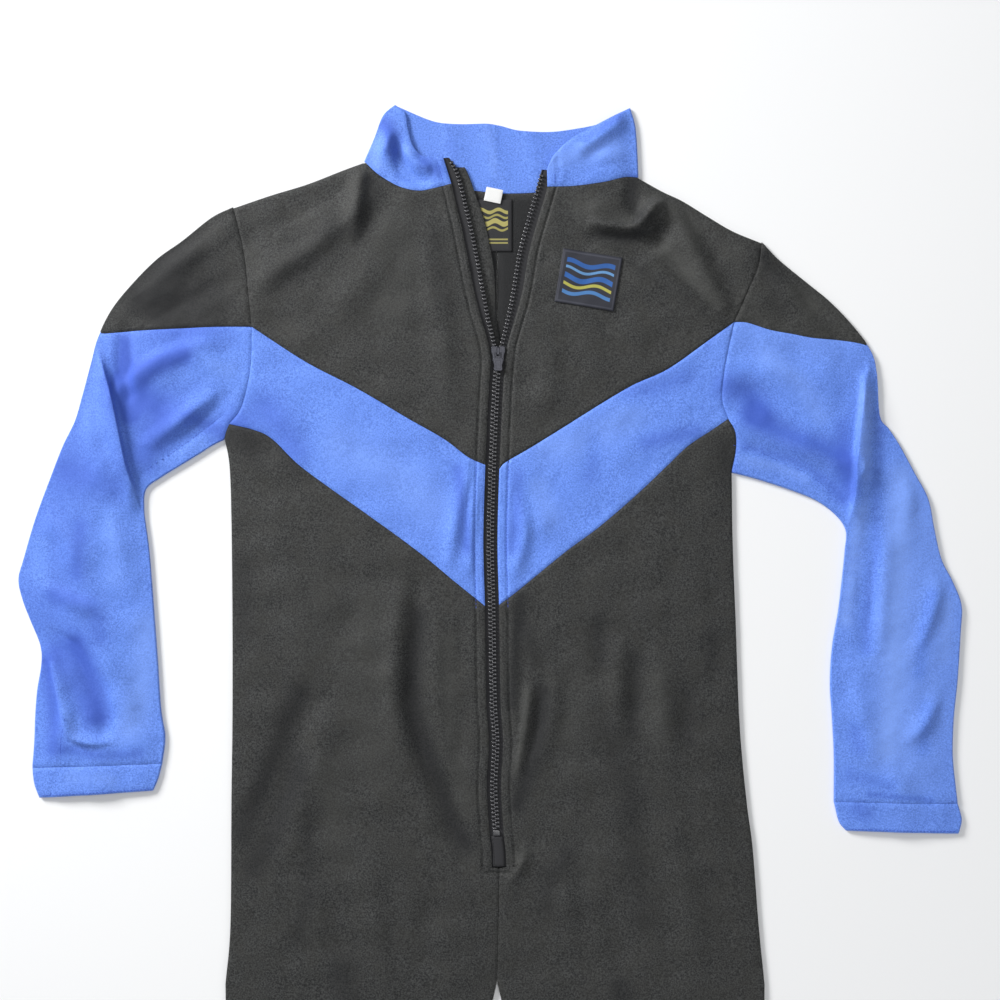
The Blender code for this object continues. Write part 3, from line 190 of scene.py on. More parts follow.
# Creases of the upper layer. Each follows its points: columns are the points, the half widths
# on the left and right of its direction, its height (a trough is negative), and, where it does,
# how far its crest leans over to the right.
creases = [
    # right front
    ([(-22, 446), (-30, 410), (-40, 356)], 5, 9, 2.6),
    ([(-14, 440), (-17, 400), (-20, 350)], 5, 6, 1.6),
    ([(-72, 330), (-75, 254), (-76, 212), (-64, 170), (-52, 130), (-39, 96), (-22, 62)],
     9, 12, -3.6),
    ([(-92, 322), (-97, 250), (-96, 205), (-84, 150)], 14, 9, 2.6),
    ([(-52, 300), (-54, 230), (-48, 172), (-30, 120)], 8, 10, 1.8),
    ([(-23, 296), (-24, 262)], 7, 7, -1.5),
    ([(-28, 196), (-27, 160)], 7, 7, -1.5),
    ([(-184, 214), (-200, 160), (-226, 80)], 10, 16, -3),
    ([(-160, 205), (-176, 140), (-200, 66)], 16, 12, 2.4),
    ([(-184, 47), (-176, 8), (-168, -30)], 12, 12, 1.8),
    ([(-214, 400), (-196, 330), (-190, 250)], 18, 14, 1.5),
    ([(-130, 330), (-150, 270)], 16, 16, -1.2),
    ([(-118, 60), (-112, -20), (-104, -90)], 12, 14, 1.6),
    ([(-60, 20), (-66, -40)], 10, 12, -1.4),
    # left front
    ([(30, 416), (35, 385), (27, 350)], 7, 6, 2.8),
    ([(50, 408), (54, 380)], 8, 8, 1.3),
    ([(24, 290), (26, 240), (28, 194)], 6, 6, -2.4),
    ([(37, 226), (35, 190), (29, 146)], 6, 5, 3),
    ([(53, 236), (48, 200), (38, 165), (32, 138)], 7, 7, -2.4),
    ([(66, 240), (62, 200), (52, 160)], 9, 9, 1.8),
    ([(35, 70), (32, 55), (21, 38)], 6, 5, 2.4),
    ([(109, 285), (112, 250)], 12, 12, -1.8),
    ([(146, 262), (145, 190)], 12, 12, -2.2),
    ([(128, 270), (128, 190)], 11, 11, 1.6),
    ([(194, 226), (196, 175)], 11, 11, -2.2),
    ([(170, 252), (172, 200), (180, 160)], 13, 13, 1.8),
    ([(225, 262), (228, 230)], 10, 10, -1.5),
    ([(73, 55), (76, 25), (82, -20)], 10, 12, 1.8),
    ([(180, 90), (196, 20), (204, -60)], 14, 14, 1.6),
    ([(120, 20), (132, -50)], 12, 12, -1.4),
    # left yoke, pushed up beside the neck
    ([(146, 690), (155, 700), (163, 709), (170, 716)], 7, 5, 7.5, 1.5),
    ([(104, 694), (122, 690), (144, 688), (158, 686), (166, 694)], 5, 5, 4, -1),
    ([(106, 681), (128, 676), (150, 670), (166, 673), (173, 690)], 6, 7, -4.2),
    ([(147, 736), (143, 718), (147, 702)], 6, 6, -4),
    ([(96, 706), (118, 712), (132, 724)], 10, 10, 1.6),
    ([(184, 709), (204, 664), (232, 612)], 9, 13, 3),
    ([(163, 653), (190, 626), (226, 596)], 9, 12, 2.6),
    ([(196, 712), (226, 668)], 8, 10, -1.6),
    ([(120, 664), (150, 640), (176, 606)], 12, 12, 1.4),
    ([(62, 560), (50, 500)], 14, 12, 1.2),
    # right yoke
    ([(-128, 746), (-131, 718), (-134, 684)], 6, 10, 4.2, 1),
    ([(-117, 722), (-150, 690), (-190, 660), (-230, 636)], 10, 14, 2.8),
    ([(-88, 704), (-118, 650), (-160, 596)], 16, 18, 1.8),
    ([(-150, 730), (-200, 700), (-236, 680)], 10, 10, -1.6),
    ([(-60, 690), (-52, 610), (-40, 520)], 14, 12, 1.3),
    ([(-210, 640), (-236, 620)], 10, 10, 1.4),
    # shoulders
    ([(-262, 690), (-300, 660), (-340, 630)], 12, 14, 1.8),
    ([(-252, 640), (-290, 622), (-336, 600)], 10, 12, -1.6),
    ([(262, 670), (290, 640), (310, 600)], 12, 12, 1.7),
    ([(318, 620), (340, 596), (352, 582)], 9, 10, -1.5),
    # right sleeve
    ([(-378, 520), (-356, 540), (-325, 559), (-286, 573)], 8, 12, 3.6),
    ([(-364, 582), (-365, 556), (-361, 522)], 7, 8, -4),
    ([(-282, 516), (-308, 496), (-337, 475)], 7, 10, 3.2),
    ([(-262, 520), (-290, 494), (-318, 466)], 9, 9, -1.6),
    ([(-396, 572), (-388, 548), (-380, 520), (-372, 480), (-364, 446), (-354, 420)],
     4, 12, 6, -3.5),
    ([(-410, 520), (-396, 480), (-380, 430)], 10, 12, 1.8),
    ([(-446, 267), (-436, 247), (-429, 222), (-425, 200), (-419, 184), (-408, 176), (-388, 174)],
     8, 3.5, 3.4, 1.4),
    ([(-436, 280), (-414, 266), (-396, 238), (-384, 208), (-384, 186)], 7, 9, -3.4),
    ([(-420, 300), (-396, 272), (-370, 236), (-358, 200)], 10, 10, 1.8),
    ([(-440, 328), (-418, 316), (-392, 308)], 7, 9, 2.3),
    ([(-440, 400), (-420, 372), (-404, 340)], 12, 10, 1.5),
    ([(-376, 400), (-366, 350)], 9, 9, 1.4),
    ([(-300, 560), (-262, 548)], 9, 11, 1.5),
    ([(-420, 210), (-432, 160)], 8, 8, 1.4),
    # left sleeve
    ([(376, 540), (374, 513), (369, 463), (366, 421), (359, 392)], 13, 4, 6, 3),
    ([(250, 492), (300, 474), (344, 456), (372, 450)], 9, 11, 2.6),
    ([(256, 530), (282, 516), (304, 500)], 10, 10, -2.2),
    ([(262, 552), (300, 544), (338, 530)], 10, 12, 1.5),
    ([(268, 470), (312, 452), (350, 430)], 8, 8, -1.4),
    ([(381, 370), (378, 330), (376, 274)], 9, 9, -3),
    ([(394, 380), (392, 330), (388, 270)], 9, 11, 1.8),
    ([(449, 330), (440, 300), (431, 274)], 7, 8, 2.3),
    ([(446, 216), (436, 196), (424, 180)], 7, 8, 2.6),
    ([(366, 250), (372, 200), (384, 160)], 10, 10, 1.5),
    ([(420, 430), (414, 380)], 10, 10, 1.4),
    ([(400, 150), (420, 118)], 9, 9, 1.3),
    # collar
    ([(-113, 788), (-106, 776), (-100, 762)], 10, 12, 6),
    ([(-92, 774), (-90, 756), (-80, 741), (-64, 735)], 5, 6, -3.6),
    ([(-82, 764), (-72, 752), (-56, 748)], 6, 6, 2.6),
    ([(-54, 756), (-56, 742)], 4, 4, -1.8),
    ([(92, 768), (112, 782), (134, 798)], 7, 7, 3.6),
    ([(117, 768), (120, 752)], 14, 14, 2.4),
    # legs
    ([(-150, -50), (-138, -120), (-118, -190)], 13, 13, 2.2),
    ([(-218, -346), (-170, -372), (-118, -398)], 12, 14, 2.2),
    ([(-206, -418), (-160, -440), (-118, -456)], 10, 12, 1.8),
    ([(-182, -636), (-154, -668), (-128, -694)], 11, 12, 1.8),
    ([(-120, -240), (-130, -320)], 14, 14, 1.4),
    ([(-190, -500), (-176, -600)], 14, 12, 1.4),
    ([(120, -70), (136, -140), (162, -206)], 13, 13, 2.2),
    ([(234, -356), (180, -380), (128, -392)], 12, 14, 2.2),
    ([(222, -426), (170, -452), (126, -474)], 10, 12, 1.8),
    ([(148, -616), (176, -660), (202, -704)], 11, 12, 1.8),
    ([(200, -230), (206, -310)], 14, 14, 1.4),
    ([(168, -520), (160, -600)], 14, 12, 1.4),
]

# Painted shade and painted light, partly the nap's own deeper and paler lie: bands that stand in
# for the shading of folds and for light falling from one side. Each band follows its points: half
# width, then how deep (a negative number is paler).
shadeAndNapBands = [
    # right sleeve, collar and band
    ([(-368, 532), (-340, 548), (-306, 560)], 11, 0.9),
    ([(-366, 574), (-364, 540), (-360, 500)], 9, 0.8),
    ([(-352, 520), (-330, 500), (-344, 462)], 22, 0.7),
    ([(-300, 500), (-276, 488), (-268, 480)], 8, 0.5),
    ([(-330, 455), (-290, 474)], 6, -0.35),
    ([(-330, 536), (-290, 556), (-262, 548)], 12, -0.3),
    ([(-404, 530), (-396, 490)], 12, -0.25),
    ([(-424, 446), (-376, 430)], 18, 0.45),
    ([(-409, 390), (-412, 344)], 8, 0.5),
    ([(-435, 322), (-398, 310), (-389, 280)], 9, 0.45),
    ([(-414, 273), (-400, 240), (-388, 200)], 12, 0.9),
    ([(-434, 266), (-414, 228), (-400, 198)], 10, 0.55),
    ([(-443, 254), (-436, 206), (-436, 168)], 9, 0.8),
    ([(-438, 254), (-424, 212), (-413, 182)], 3.5, -0.35),
    ([(-424, 168), (-387, 162), (-350, 164)], 6, 0.6),
    ([(-361, 190), (-348, 230), (-343, 290)], 17, -0.5),
    ([(-452, 372), (-450, 340)], 12, -0.35),
    ([(-380, 400), (-376, 340)], 12, -0.25),
    ([(-421, 140), (-380, 138)], 7, -0.25),
    ([(-224, 510), (-206, 486), (-196, 466)], 18, 0.6),
    ([(-32, 446), (-28, 410), (-24, 370)], 7, 0.7),
    ([(-150, 470), (-90, 440), (-60, 410)], 24, -0.35),
    ([(-105, 792), (-98, 780), (-96, 764)], 9, 0.9),
    ([(-62, 778), (-30, 768), (-14, 772)], 13, 0.5),
    ([(-72, 758), (-60, 750), (-52, 746)], 8, 0.7),
    ([(-8, 786), (6, 756), (10, 742)], 18, -0.6),
    ([(-118, 768), (-112, 752)], 8, -0.4),
    ([(-82, 768), (-74, 756)], 4, -0.6),
    ([(-400, 520), (-440, 380), (-440, 300)], 50, 0.35),
    ([(-340, 540), (-300, 500)], 40, 0.25),
    # left sleeve, collar and band
    ([(440, 400), (430, 300), (420, 160)], 50, -0.35),
    ([(238, 530), (256, 524), (270, 506)], 15, 0.75),
    ([(262, 500), (300, 480), (344, 462), (364, 426)], 13, 0.8),
    ([(258, 470), (300, 456), (330, 440), (352, 418)], 5, 0.5),
    ([(250, 458), (290, 450), (316, 440)], 6, -0.45),
    ([(352, 490), (356, 456)], 9, 0.5),
    ([(276, 560), (306, 536), (330, 500)], 11, -0.35),
    ([(374, 520), (373, 440), (366, 375), (356, 298)], 8, -0.6),
    ([(390, 500), (387, 420), (386, 362), (378, 311), (377, 268)], 7, 0.5),
    ([(441, 322), (433, 286), (429, 244)], 7, 0.5),
    ([(436, 210), (433, 168)], 8, 0.4),
    ([(366, 184), (370, 168)], 9, 0.45),
    ([(361, 142), (400, 132)], 7, 0.45),
    ([(380, 123), (410, 120), (440, 117)], 3, 0.8),
    ([(368, 108), (376, 104)], 9, 0.5),
    ([(412, 440), (408, 380), (404, 298), (402, 222), (397, 170)], 15, -0.55),
    ([(458, 311), (455, 262)], 8, -0.3),
    ([(156, 474), (180, 480), (206, 484)], 8, 0.6),
    ([(196, 540), (170, 532), (140, 524)], 10, 0.4),
    ([(104, 478), (100, 440)], 8, 0.35),
    ([(28, 440), (26, 400), (22, 370)], 8, 0.55),
    ([(60, 470), (90, 476), (140, 500)], 18, -0.4),
    ([(48, 430), (60, 400)], 12, -0.35),
    ([(96, 776), (114, 790), (130, 800)], 4, 0.6),
    ([(60, 756), (90, 764), (124, 768)], 12, -0.45),
    # shoulders and yokes
    ([(-320, 660), (-320, 630), (-300, 610)], 44, 0.9),
    ([(-356, 620), (-330, 604)], 14, 0.5),
    ([(-120, 736), (-122, 706), (-130, 684)], 10, 0.7),
    ([(-210, 640), (-180, 662), (-156, 690)], 14, 0.4),
    ([(-100, 690), (-86, 650), (-100, 610)], 24, -0.35),
    ([(-236, 660), (-226, 620)], 10, -0.3),
    ([(-56, 680), (-50, 620)], 13, 0.4),
    ([(144, 736), (142, 716), (148, 700)], 7, 0.9),
    ([(112, 684), (136, 680), (156, 684)], 7, 0.9),
    ([(160, 700), (166, 690)], 6, 0.6),
    ([(84, 714), (110, 706), (136, 700)], 12, -0.45),
    ([(170, 716), (196, 700), (216, 676)], 10, -0.4),
    ([(150, 648), (190, 624), (226, 598)], 10, 0.4),
    ([(176, 668), (200, 640), (222, 614)], 8, -0.45),
    ([(214, 680), (232, 640), (240, 612)], 9, 0.5),
    ([(200, 670), (260, 600), (330, 590)], 40, -0.3),
    ([(272, 660), (286, 636), (292, 608)], 14, 0.6),
    ([(300, 626), (322, 612)], 10, -0.55),
    ([(-252, 492), (-240, 470)], 16, 0.7),
    ([(236, 470), (240, 440)], 12, 0.5),
    # right front
    ([(-72, 300), (-77, 239), (-74, 196), (-59, 153), (-41, 107), (-26, 74)], 11, 0.9),
    ([(-42, 276), (-41, 207), (-34, 157), (-25, 100)], 9, -0.55),
    ([(-120, 306), (-127, 239), (-118, 157)], 24, -0.35),
    ([(-190, 224), (-209, 178), (-231, 125), (-249, 86)], 13, 0.7),
    ([(-191, 157), (-209, 100), (-236, 50)], 11, 0.7),
    ([(-184, 140), (-182, 40), (-192, -20)], 8, 0.5),
    ([(-160, 143), (-150, 60)], 20, -0.3),
    ([(-249, 350), (-246, 290)], 14, 0.4),
    ([(-170, 330), (-176, 280)], 20, -0.25),
    # left front
    ([(30, 321), (26, 268), (22, 214)], 7, 0.8),
    ([(36, 290), (46, 256)], 8, 0.5),
    ([(54, 226), (51, 186), (38, 143), (27, 112)], 8, 0.9),
    ([(37, 224), (34, 186), (26, 143)], 5, -0.75),
    ([(28, 60), (50, 72)], 5, -0.45),
    ([(76, 64), (60, 36), (56, 10)], 9, 0.5),
    ([(108, 296), (112, 262)], 10, 0.5),
    ([(146, 256), (143, 186)], 10, 0.6),
    ([(198, 224), (201, 176)], 10, 0.5),
    ([(223, 276), (226, 250)], 10, 0.4),
    ([(116, 186), (141, 128)], 16, 0.4),
    ([(141, 107), (151, 0)], 14, 0.4),
    ([(170, 240), (168, 178)], 12, -0.35),
    ([(88, 236), (80, 157)], 14, -0.3),
    ([(104, 80), (98, 40)], 12, -0.3),
    # legs
    ([(-150, -50), (-138, -120), (-118, -190)], 13, 0.6),
    ([(-216, -352), (-160, -384), (-110, -400)], 12, 0.5),
    ([(-200, -440), (-150, -462)], 12, 0.4),
    ([(-150, -250), (-160, -310)], 18, -0.3),
    ([(-180, -640), (-150, -680)], 12, 0.4),
    ([(128, -70), (142, -140), (166, -206)], 13, 0.6),
    ([(228, -362), (176, -390), (124, -400)], 12, 0.5),
    ([(214, -440), (164, -462)], 12, 0.4),
    ([(170, -250), (184, -310)], 18, -0.3),
    ([(150, -620), (190, -690)], 12, 0.4),
]


def densePath(points, perSpan=24):
    # Catmull-Rom: each span blends its two points with the slopes of their neighbours
    knots = np.array(points, float)
    ends = np.vstack([2 * knots[0] - knots[1], knots, 2 * knots[-1] - knots[-2]])
    t = np.linspace(0, 1, perSpan, endpoint=False)[None, :, None]
    a, b, c, d = (ends[i:len(knots) - 1 + i, None] for i in range(4))
    spans = 0.5 * (2 * b + (c - a) * t + (2 * a - 5 * b + 4 * c - d) * t ** 2
                   + (3 * b - a - 3 * c + d) * t ** 3)
    return np.vstack([spans.reshape(-1, 2), knots[-1:]])


def pathLengths(path):
    # length from the start to each point
    return np.concatenate([[0], np.cumsum(np.linalg.norm(np.diff(path, axis=0), axis=1))])


def alongPath(path, fractions):
    # points at fractions of the path's length
    lengths = pathLengths(path)
    at = np.asarray(fractions) * lengths[-1]
    return np.stack([np.interp(at, lengths, path[:, k]) for k in range(path.shape[1])], axis=-1)


def alongParts(parts, fractions):
    # parts are (path, share of the fractions); each part is followed by its own length
    fractions = np.asarray(fractions, float)
    result = np.zeros((len(fractions), 2))
    start = 0.0
    total = sum(share for _, share in parts)
    for path, share in parts:
        stop = start + share / total
        inside = (fractions >= start - 1e-9) & (fractions <= stop + 1e-9)
        result[inside] = alongPath(path, (fractions[inside] - start) / (stop - start))
        start = stop
    return result


def ease(low, high, value):
    # 0 below low, 1 above high, and three squares less two cubes of the share between
    t = np.clip((np.asarray(value, float) - low) / (high - low), 0, 1)
    return t * t * (3 - 2 * t)


def unit(vectors):
    # each vector divided by its length
    return vectors / np.maximum(np.linalg.norm(vectors, axis=-1, keepdims=True), 1e-9)


def tableX(table, y):
    # x at the heights y on the smooth line through a table that runs downwards
    path = densePath(table)
    return np.interp(y, path[::-1, 1], path[::-1, 0])


def rowX(side, y):
    # middle of a tooth row: its own line above the slider, beside the chain's middle below
    closed = tableX(chainLine, y) + sideSign[side] * zipSizes["rowHalf"]
    return np.where(np.asarray(y) >= zipSizes["join"], tableX(rowOpen[side], y), closed)


def edgeX(side, y):
    # the cloth's edge keeps further from the teeth where the zip is open
    opened = zipSizes["edgeOpen"]
    margin = zipSizes["edgeClosed"] + (opened - zipSizes["edgeClosed"]) * ease(*zipSizes["openFrom"], y)
    margin = margin - (opened - zipSizes["edgeTop"]) * ease(*zipSizes["topFrom"], y)
    return rowX(side, y) + sideSign[side] * margin


def zipEdge(side, yFrom, yTo, count=200):
    # the cloth's edge beside the zip, from one height to another
    y = np.linspace(yFrom, yTo, count)
    return np.column_stack([edgeX(side, y), y])


paths = {side: {name: densePath(points) for name, points in table.items()
                if isinstance(points, list)} for side, table in outlines.items()}
# the bands' seams and the neck start at the cloth's edge beside the zip
for side, table in outlines.items():
    for name, height, skipped in (("chevronTop", "zipChevronTop", 0),
                                  ("chevronLow", "zipChevronLow", 0), ("neck", "zipNeck", 1)):
        first = (float(edgeX(side, table[height])), table[height])
        paths[side][name] = densePath([first] + table[name][skipped:])

# the outline and the shoulder seams, where the upper layer comes down to the lower one
edgeNames = ("shoulder", "side", "legOut", "legIn", "sleeveOut", "sleeveIn",
             "cuffOut", "cuffIn", "collarFold")
edgePoints = np.vstack([alongPath(paths[side][name], np.linspace(0, 1, 90))
                        for side in sideSign for name in edgeNames])


def nearPath(flat, path, reach):
    # true inside the path's box, grown by the reach
    return np.all((flat > path.min(axis=0) - reach) & (flat < path.max(axis=0) + reach), axis=1)


def squaredGap(spots, path):
    # square of the distance to the nearest of the path's points
    return ((spots[:, None] - path[None]) ** 2).sum(axis=2).min(axis=1)


def distanceToEdges(flat, batch=4000):
    # worked out in batches, to save memory
    parts = [flat[start:start + batch] for start in range(0, len(flat), batch)]
    return np.sqrt(np.concatenate([squaredGap(part, edgePoints) for part in parts]))


def creaseShape(flat, crease):
    # height falls off as a bell across the path and dies away over its two ends; the crest's
    # points move to the right by the lean
    points, leftHalf, rightHalf, height, *lean = crease
    path = densePath(points, 8)
    near = nearPath(flat, path, 3 * max(leftHalf, rightHalf))
    result = np.zeros(len(flat))
    push = np.zeros((len(flat), 2))
    if not near.any():
        return result, push
    spots = flat[near]
    lengths = pathLengths(path)
    step = np.diff(path, axis=0)
    span = np.linalg.norm(step, axis=1)
    offset = spots[:, None] - path[None, :-1]
    t = np.clip((offset * step).sum(axis=2) / span ** 2, 0, 1)
    gap = offset - t[..., None] * step
    far = np.sqrt((gap ** 2).sum(axis=2))
    pick = far.argmin(axis=1)
    rows = np.arange(len(spots))
    heading = step[pick] / span[pick, None]
    across = offset[rows, pick]
    sideOf = heading[:, 0] * across[:, 1] - heading[:, 1] * across[:, 0]
    half = np.where(sideOf > 0, leftHalf, rightHalf)
    along = (lengths[pick] + t[rows, pick] * span[pick]) / lengths[-1]
    start, share, power = layers["creaseEnds"]
    taper = np.clip(np.sin(np.pi * np.clip(start + share * along, 0, 1)), 0, 1) ** power
    bell = np.exp(-(far[rows, pick] / half) ** 2) * taper
    result[near] = height * bell
    rightward = np.column_stack([heading[:, 1], -heading[:, 0]])
    push[near] = sum(lean) * bell[:, None] ** 2 * rightward
    return result, push


def ripple(flat, seed, sizeLow, sizeHigh, count):
    # a sum of slanted sine waves of seeded direction, length and phase
    random = np.random.default_rng(seed)
    total = np.zeros(len(flat))
    for _ in range(count):
        angle = random.uniform(0, np.pi)
        length = random.uniform(sizeLow, sizeHigh)
        phase = random.uniform(0, 2 * np.pi)
        total += np.sin(2 * np.pi * (flat @ [np.cos(angle), np.sin(angle)]) / length + phase)
    return total / math.sqrt(count)


# the underarm seams, where they show on the upper layer
sleeveSeams = [
    [(-266, 503), (-277, 495), (-296, 480), (-320, 463), (-345, 446), (-352, 437)],
    [(243, 472), (267, 466), (289, 456), (310, 447), (327, 437), (340, 425), (352, 411)],
    [(-423, 200), (-427, 186), (-429, 170), (-429, 155)],
    [(-430, 147), (-435, 135), (-440, 121)],
]


def pathDistance(flat, points, reach=8.0):
    # distance to a smooth line, worked out only where it is within reach
    path = densePath(points, 5)
    result = np.full(len(flat), 1e3)
    near = nearPath(flat, path, reach)
    if near.any():
        result[near] = np.sqrt(squaredGap(flat[near], path))
    return result


def zipGroove(flat):
    # stitching pulls the cloth down in a narrow bell, unevenly along the line
    x, y = flat[:, 0], flat[:, 1]
    low = zipSizes["stitchEnd"]
    half = zipSizes["rowHalf"] + zipSizes["edgeClosed"] + layers["grooveFrom"]
    gap = np.full(len(flat), 1e3)
    for side in sideSign:
        away = sideSign[side] * (x - edgeX(side, np.maximum(y, low))) - layers["grooveFrom"]
        gap = np.minimum(gap, np.hypot(away, np.maximum(low - y, 0)))
    beyond = np.maximum(np.abs(x - tableX(chainLine, y)) - half, 0)
    gap = np.minimum(gap, np.hypot(beyond, y - low))
    least, swing, short, long = layers["groovePull"]
    pull = least + swing * np.sin(y / short) * np.sin(y / long)
    groove = layers["grooveDepth"] * pull * np.exp(-(gap / layers["grooveHalf"]) ** 2)
    for points in sleeveSeams:
        away = pathDistance(flat, points) / layers["seamLineHalf"]
        groove += layers["seamLine"] * np.exp(-away ** 2)
    return groove


# each pair is where a tone starts and where it is full
shadeAndNapLook = {
    "upper": (2, 3.4),  # height of the upper layer
    "backTop": (1, 1.4),  # height of the back's upper face
    "neckSides": (50, 80),  # the neck opening, where the back shows: painted shade on it
    "neckLow": (540, 580),
    "neckTop": (718, 726),
}


def shadeAndNapTone(points):
    # painted shade and painted light, partly the nap's own tone: bands that fade as a bell away from
    # their paths, on the upper layer only, and painted shade on the back where it shows through the
    # neck
    flat = points[:, :2]
    height = points[:, 2]
    total = np.zeros(len(flat))
    for places, half, amount in shadeAndNapBands:
        path = densePath(places, 6)
        near = nearPath(flat, path, 2.5 * half)
        total[near] += amount * np.exp(-squaredGap(flat[near], path) / half ** 2)
    upper = ease(*shadeAndNapLook["upper"], height)
    middle = 1 - ease(*shadeAndNapLook["neckSides"], np.abs(flat[:, 0]))
    inside = middle * ease(*shadeAndNapLook["neckLow"], flat[:, 1])
    inside = inside * (1 - ease(*shadeAndNapLook["neckTop"], flat[:, 1]))
    inside = inside * ease(*shadeAndNapLook["backTop"], height) * (1 - upper)
    return np.clip(total, -1, 1) * upper + inside


def upperHeight(grid):
    # underside of the upper layer: puffed away from the outline, with creases and ripples on it
    flat = grid.reshape(-1, 2)
    near = distanceToEdges(flat)
    height = layers["puff"] * (1 - np.exp(-near / layers["puffReach"]))
    hold = np.minimum(1, near / layers["hold"])
    push = np.zeros_like(flat)
    for crease in creases:
        rise, lean = creaseShape(flat, crease)
        height += layers["creaseGain"] * rise * hold
        push += lean * hold[:, None]
    for seed, shortest, longest, tall in layers["ripples"]:
        height += hold * tall * ripple(flat, seed, shortest, longest, layers["rippleWaves"])
    floor = layers["wall"] + layers["gap"]
    soft = layers["lowest"]
    height = floor + soft * np.log1p(np.exp(np.clip(height / soft, -40, 40)))  # never below the floor
    reach = np.min([np.abs(flat[:, 0] - rowX(side, flat[:, 1])) for side in sideSign], axis=0)
    over = floor + (layers["overTape"] - floor) * (1 - ease(*layers["tapeReach"], reach))
    over = np.where(flat[:, 1] > zipSizes["end"] - layers["tapeBelow"], over, floor)
    height = np.maximum(height, over)
    rise, fade = layers["tapeBlend"]
    height = height + rise * np.exp(-np.abs(height - over) / fade)
    height -= zipGroove(flat)
    return height.reshape(grid.shape[:2]), push.reshape(grid.shape)


def seamSteps(length, spacing):
    # fractions of an edge: close together beside its two ends, evenly spaced between
    edges = np.array(meshSize["edge"]) / length
    count = max(3, int(round(length / spacing)))
    clear = edges[-1] * 1.4
    middle = np.linspace(0, 1, count + 1)[1:-1]
    middle = middle[(middle > clear) & (middle < 1 - clear)]
    return np.concatenate([[0], edges, middle, 1 - edges[::-1], [1]])


def blendGrid(near, far, first, last, u, v):
    # Coons patch at the fractions u across and v along: the two blends between facing edges,
    # less the blend of the four corners
    u = u[None, :, None]
    v = v[:, None, None]
    across = (1 - v) * near[None] + v * far[None]
    along = (1 - u) * first[:, None] + u * last[:, None]
    corners = ((1 - u) * (1 - v) * near[0] + u * (1 - v) * near[-1]
               + (1 - u) * v * far[0] + u * v * far[-1])
    return across + along - corners


# A grid's four edges are always named in this order: top, low, left, right.
everySide = (True, True, True, True)


def pullIn(grid, sides=everySide):
    # the chosen edges move inwards, towards the next row or column
    result = grid.copy()
    picks = [(np.s_[0], np.s_[1]), (np.s_[-1], np.s_[-2]),
             (np.s_[:, 0], np.s_[:, 1]), (np.s_[:, -1], np.s_[:, -2])]
    for (edge, inside), wanted in zip(picks, sides):
        if wanted:
            result[edge] += layers["seam"] * unit(grid[inside] - grid[edge])
    return result


def clothCoordinates(grid, even=False):
    # millimetres along the rows and columns: the running sum of the steps between points;
    # where even, the steps from one row to the next are all their mean
    right, down = (np.linalg.norm(np.diff(grid, axis=axis), axis=2) for axis in (1, 0))
    if even:
        down = np.broadcast_to(down.mean(axis=1, keepdims=True), (len(down), grid.shape[1]))
    u = np.hstack([np.zeros((grid.shape[0], 1)), np.cumsum(right, axis=1)])
    v = np.vstack([np.zeros((1, grid.shape[1])), np.cumsum(down, axis=0)])
    return np.dstack([u, v])


def edgeDistance(grid, sides=everySide):
    # distance to the nearest of the chosen edges, measured along rows and columns
    fromLeft, fromTop = np.moveaxis(clothCoordinates(grid), 2, 0)
    distances = (fromTop, fromTop[-1:] - fromTop, fromLeft, fromLeft[:, -1:] - fromLeft)
    return np.min([distance for distance, wanted in zip(distances, sides) if wanted], axis=0)


def placed(name, data):
    thing = bpy.data.objects.new(name, data)
    bpy.context.scene.collection.objects.link(thing)
    return thing


def makeMesh(name, points, faces, uv=None):
    # points are in millimetres; cloth has a map in millimetres and, on each point, its painted shade
    # and light, partly the nap's tone
    mesh = bpy.data.meshes.new(name)
    mesh.vertices.add(len(points))
    mesh.vertices.foreach_set("co", (np.asarray(points, float) * mm).astype(np.float32).ravel())
    faces = np.asarray(faces, np.int32)
    count, corners = faces.shape
    mesh.loops.add(count * corners)
    mesh.loops.foreach_set("vertex_index", faces.ravel())
    mesh.polygons.add(count)
    mesh.polygons.foreach_set("loop_start", np.arange(0, count * corners, corners, dtype=np.int32))
    if uv is not None:
        spots = np.asarray(uv)[faces.ravel()] * mm
        mesh.uv_layers.new(name="clothMap").data.foreach_set("uv", spots.astype(np.float32).ravel())
        # painted shade and painted light on each point
        shadeTone = mesh.attributes.new("shadeAndNapTone", "FLOAT", "POINT")
        shadeTone.data.foreach_set("value", shadeAndNapTone(np.asarray(points, float)).astype(np.float32))
    mesh.update(calc_edges=True)
    mesh.validate()
    mesh.polygons.foreach_set("use_smooth", np.ones(len(mesh.polygons), bool))
    return placed(name, mesh)


def gridFaces(rows, columns, start=0, wrap=False):
    # the corners of each square of a grid; wrapped, its last column joins the first
    index = start + np.arange(rows * columns).reshape(rows, columns)
    if wrap:
        index = np.hstack([index, index[:, :1]])
    return np.stack([index[:-1, :-1], index[:-1, 1:], index[1:, 1:], index[1:, :-1]],
                    axis=-1).reshape(-1, 4)


def border(grid):
    # once round a grid's outer points
    return np.concatenate([grid[0, :-1], grid[:-1, -1], grid[-1, :0:-1], grid[:0:-1, 0]])


def rimFaces(rows, columns, lower):
    # joins the borders of two grids of the same size, whose points start lower apart
    ring = border(np.arange(rows * columns).reshape(rows, columns))
    following = np.roll(ring, -1)
    return np.column_stack([ring, ring + lower, following + lower, following])


def closeSkin(piece, merge=0.0, smallest=0.0):
    # merges points and drops slivers, both sizes in metres, and turns the faces outwards
    shape = bmesh.new()
    shape.from_mesh(piece.data)
    if merge:
        bmesh.ops.remove_doubles(shape, verts=shape.verts, dist=merge)
        bmesh.ops.dissolve_degenerate(shape, edges=shape.edges, dist=smallest)
    bmesh.ops.recalc_face_normals(shape, faces=shape.faces)
    shape.to_mesh(piece.data)
    shape.free()
    piece.data.update()
    return piece


def seamRoll(fromEdge):
    # a bell: 1 on the seam, falling away from it
    return np.exp(-(fromEdge / layers["seamWidth"]) ** 2)


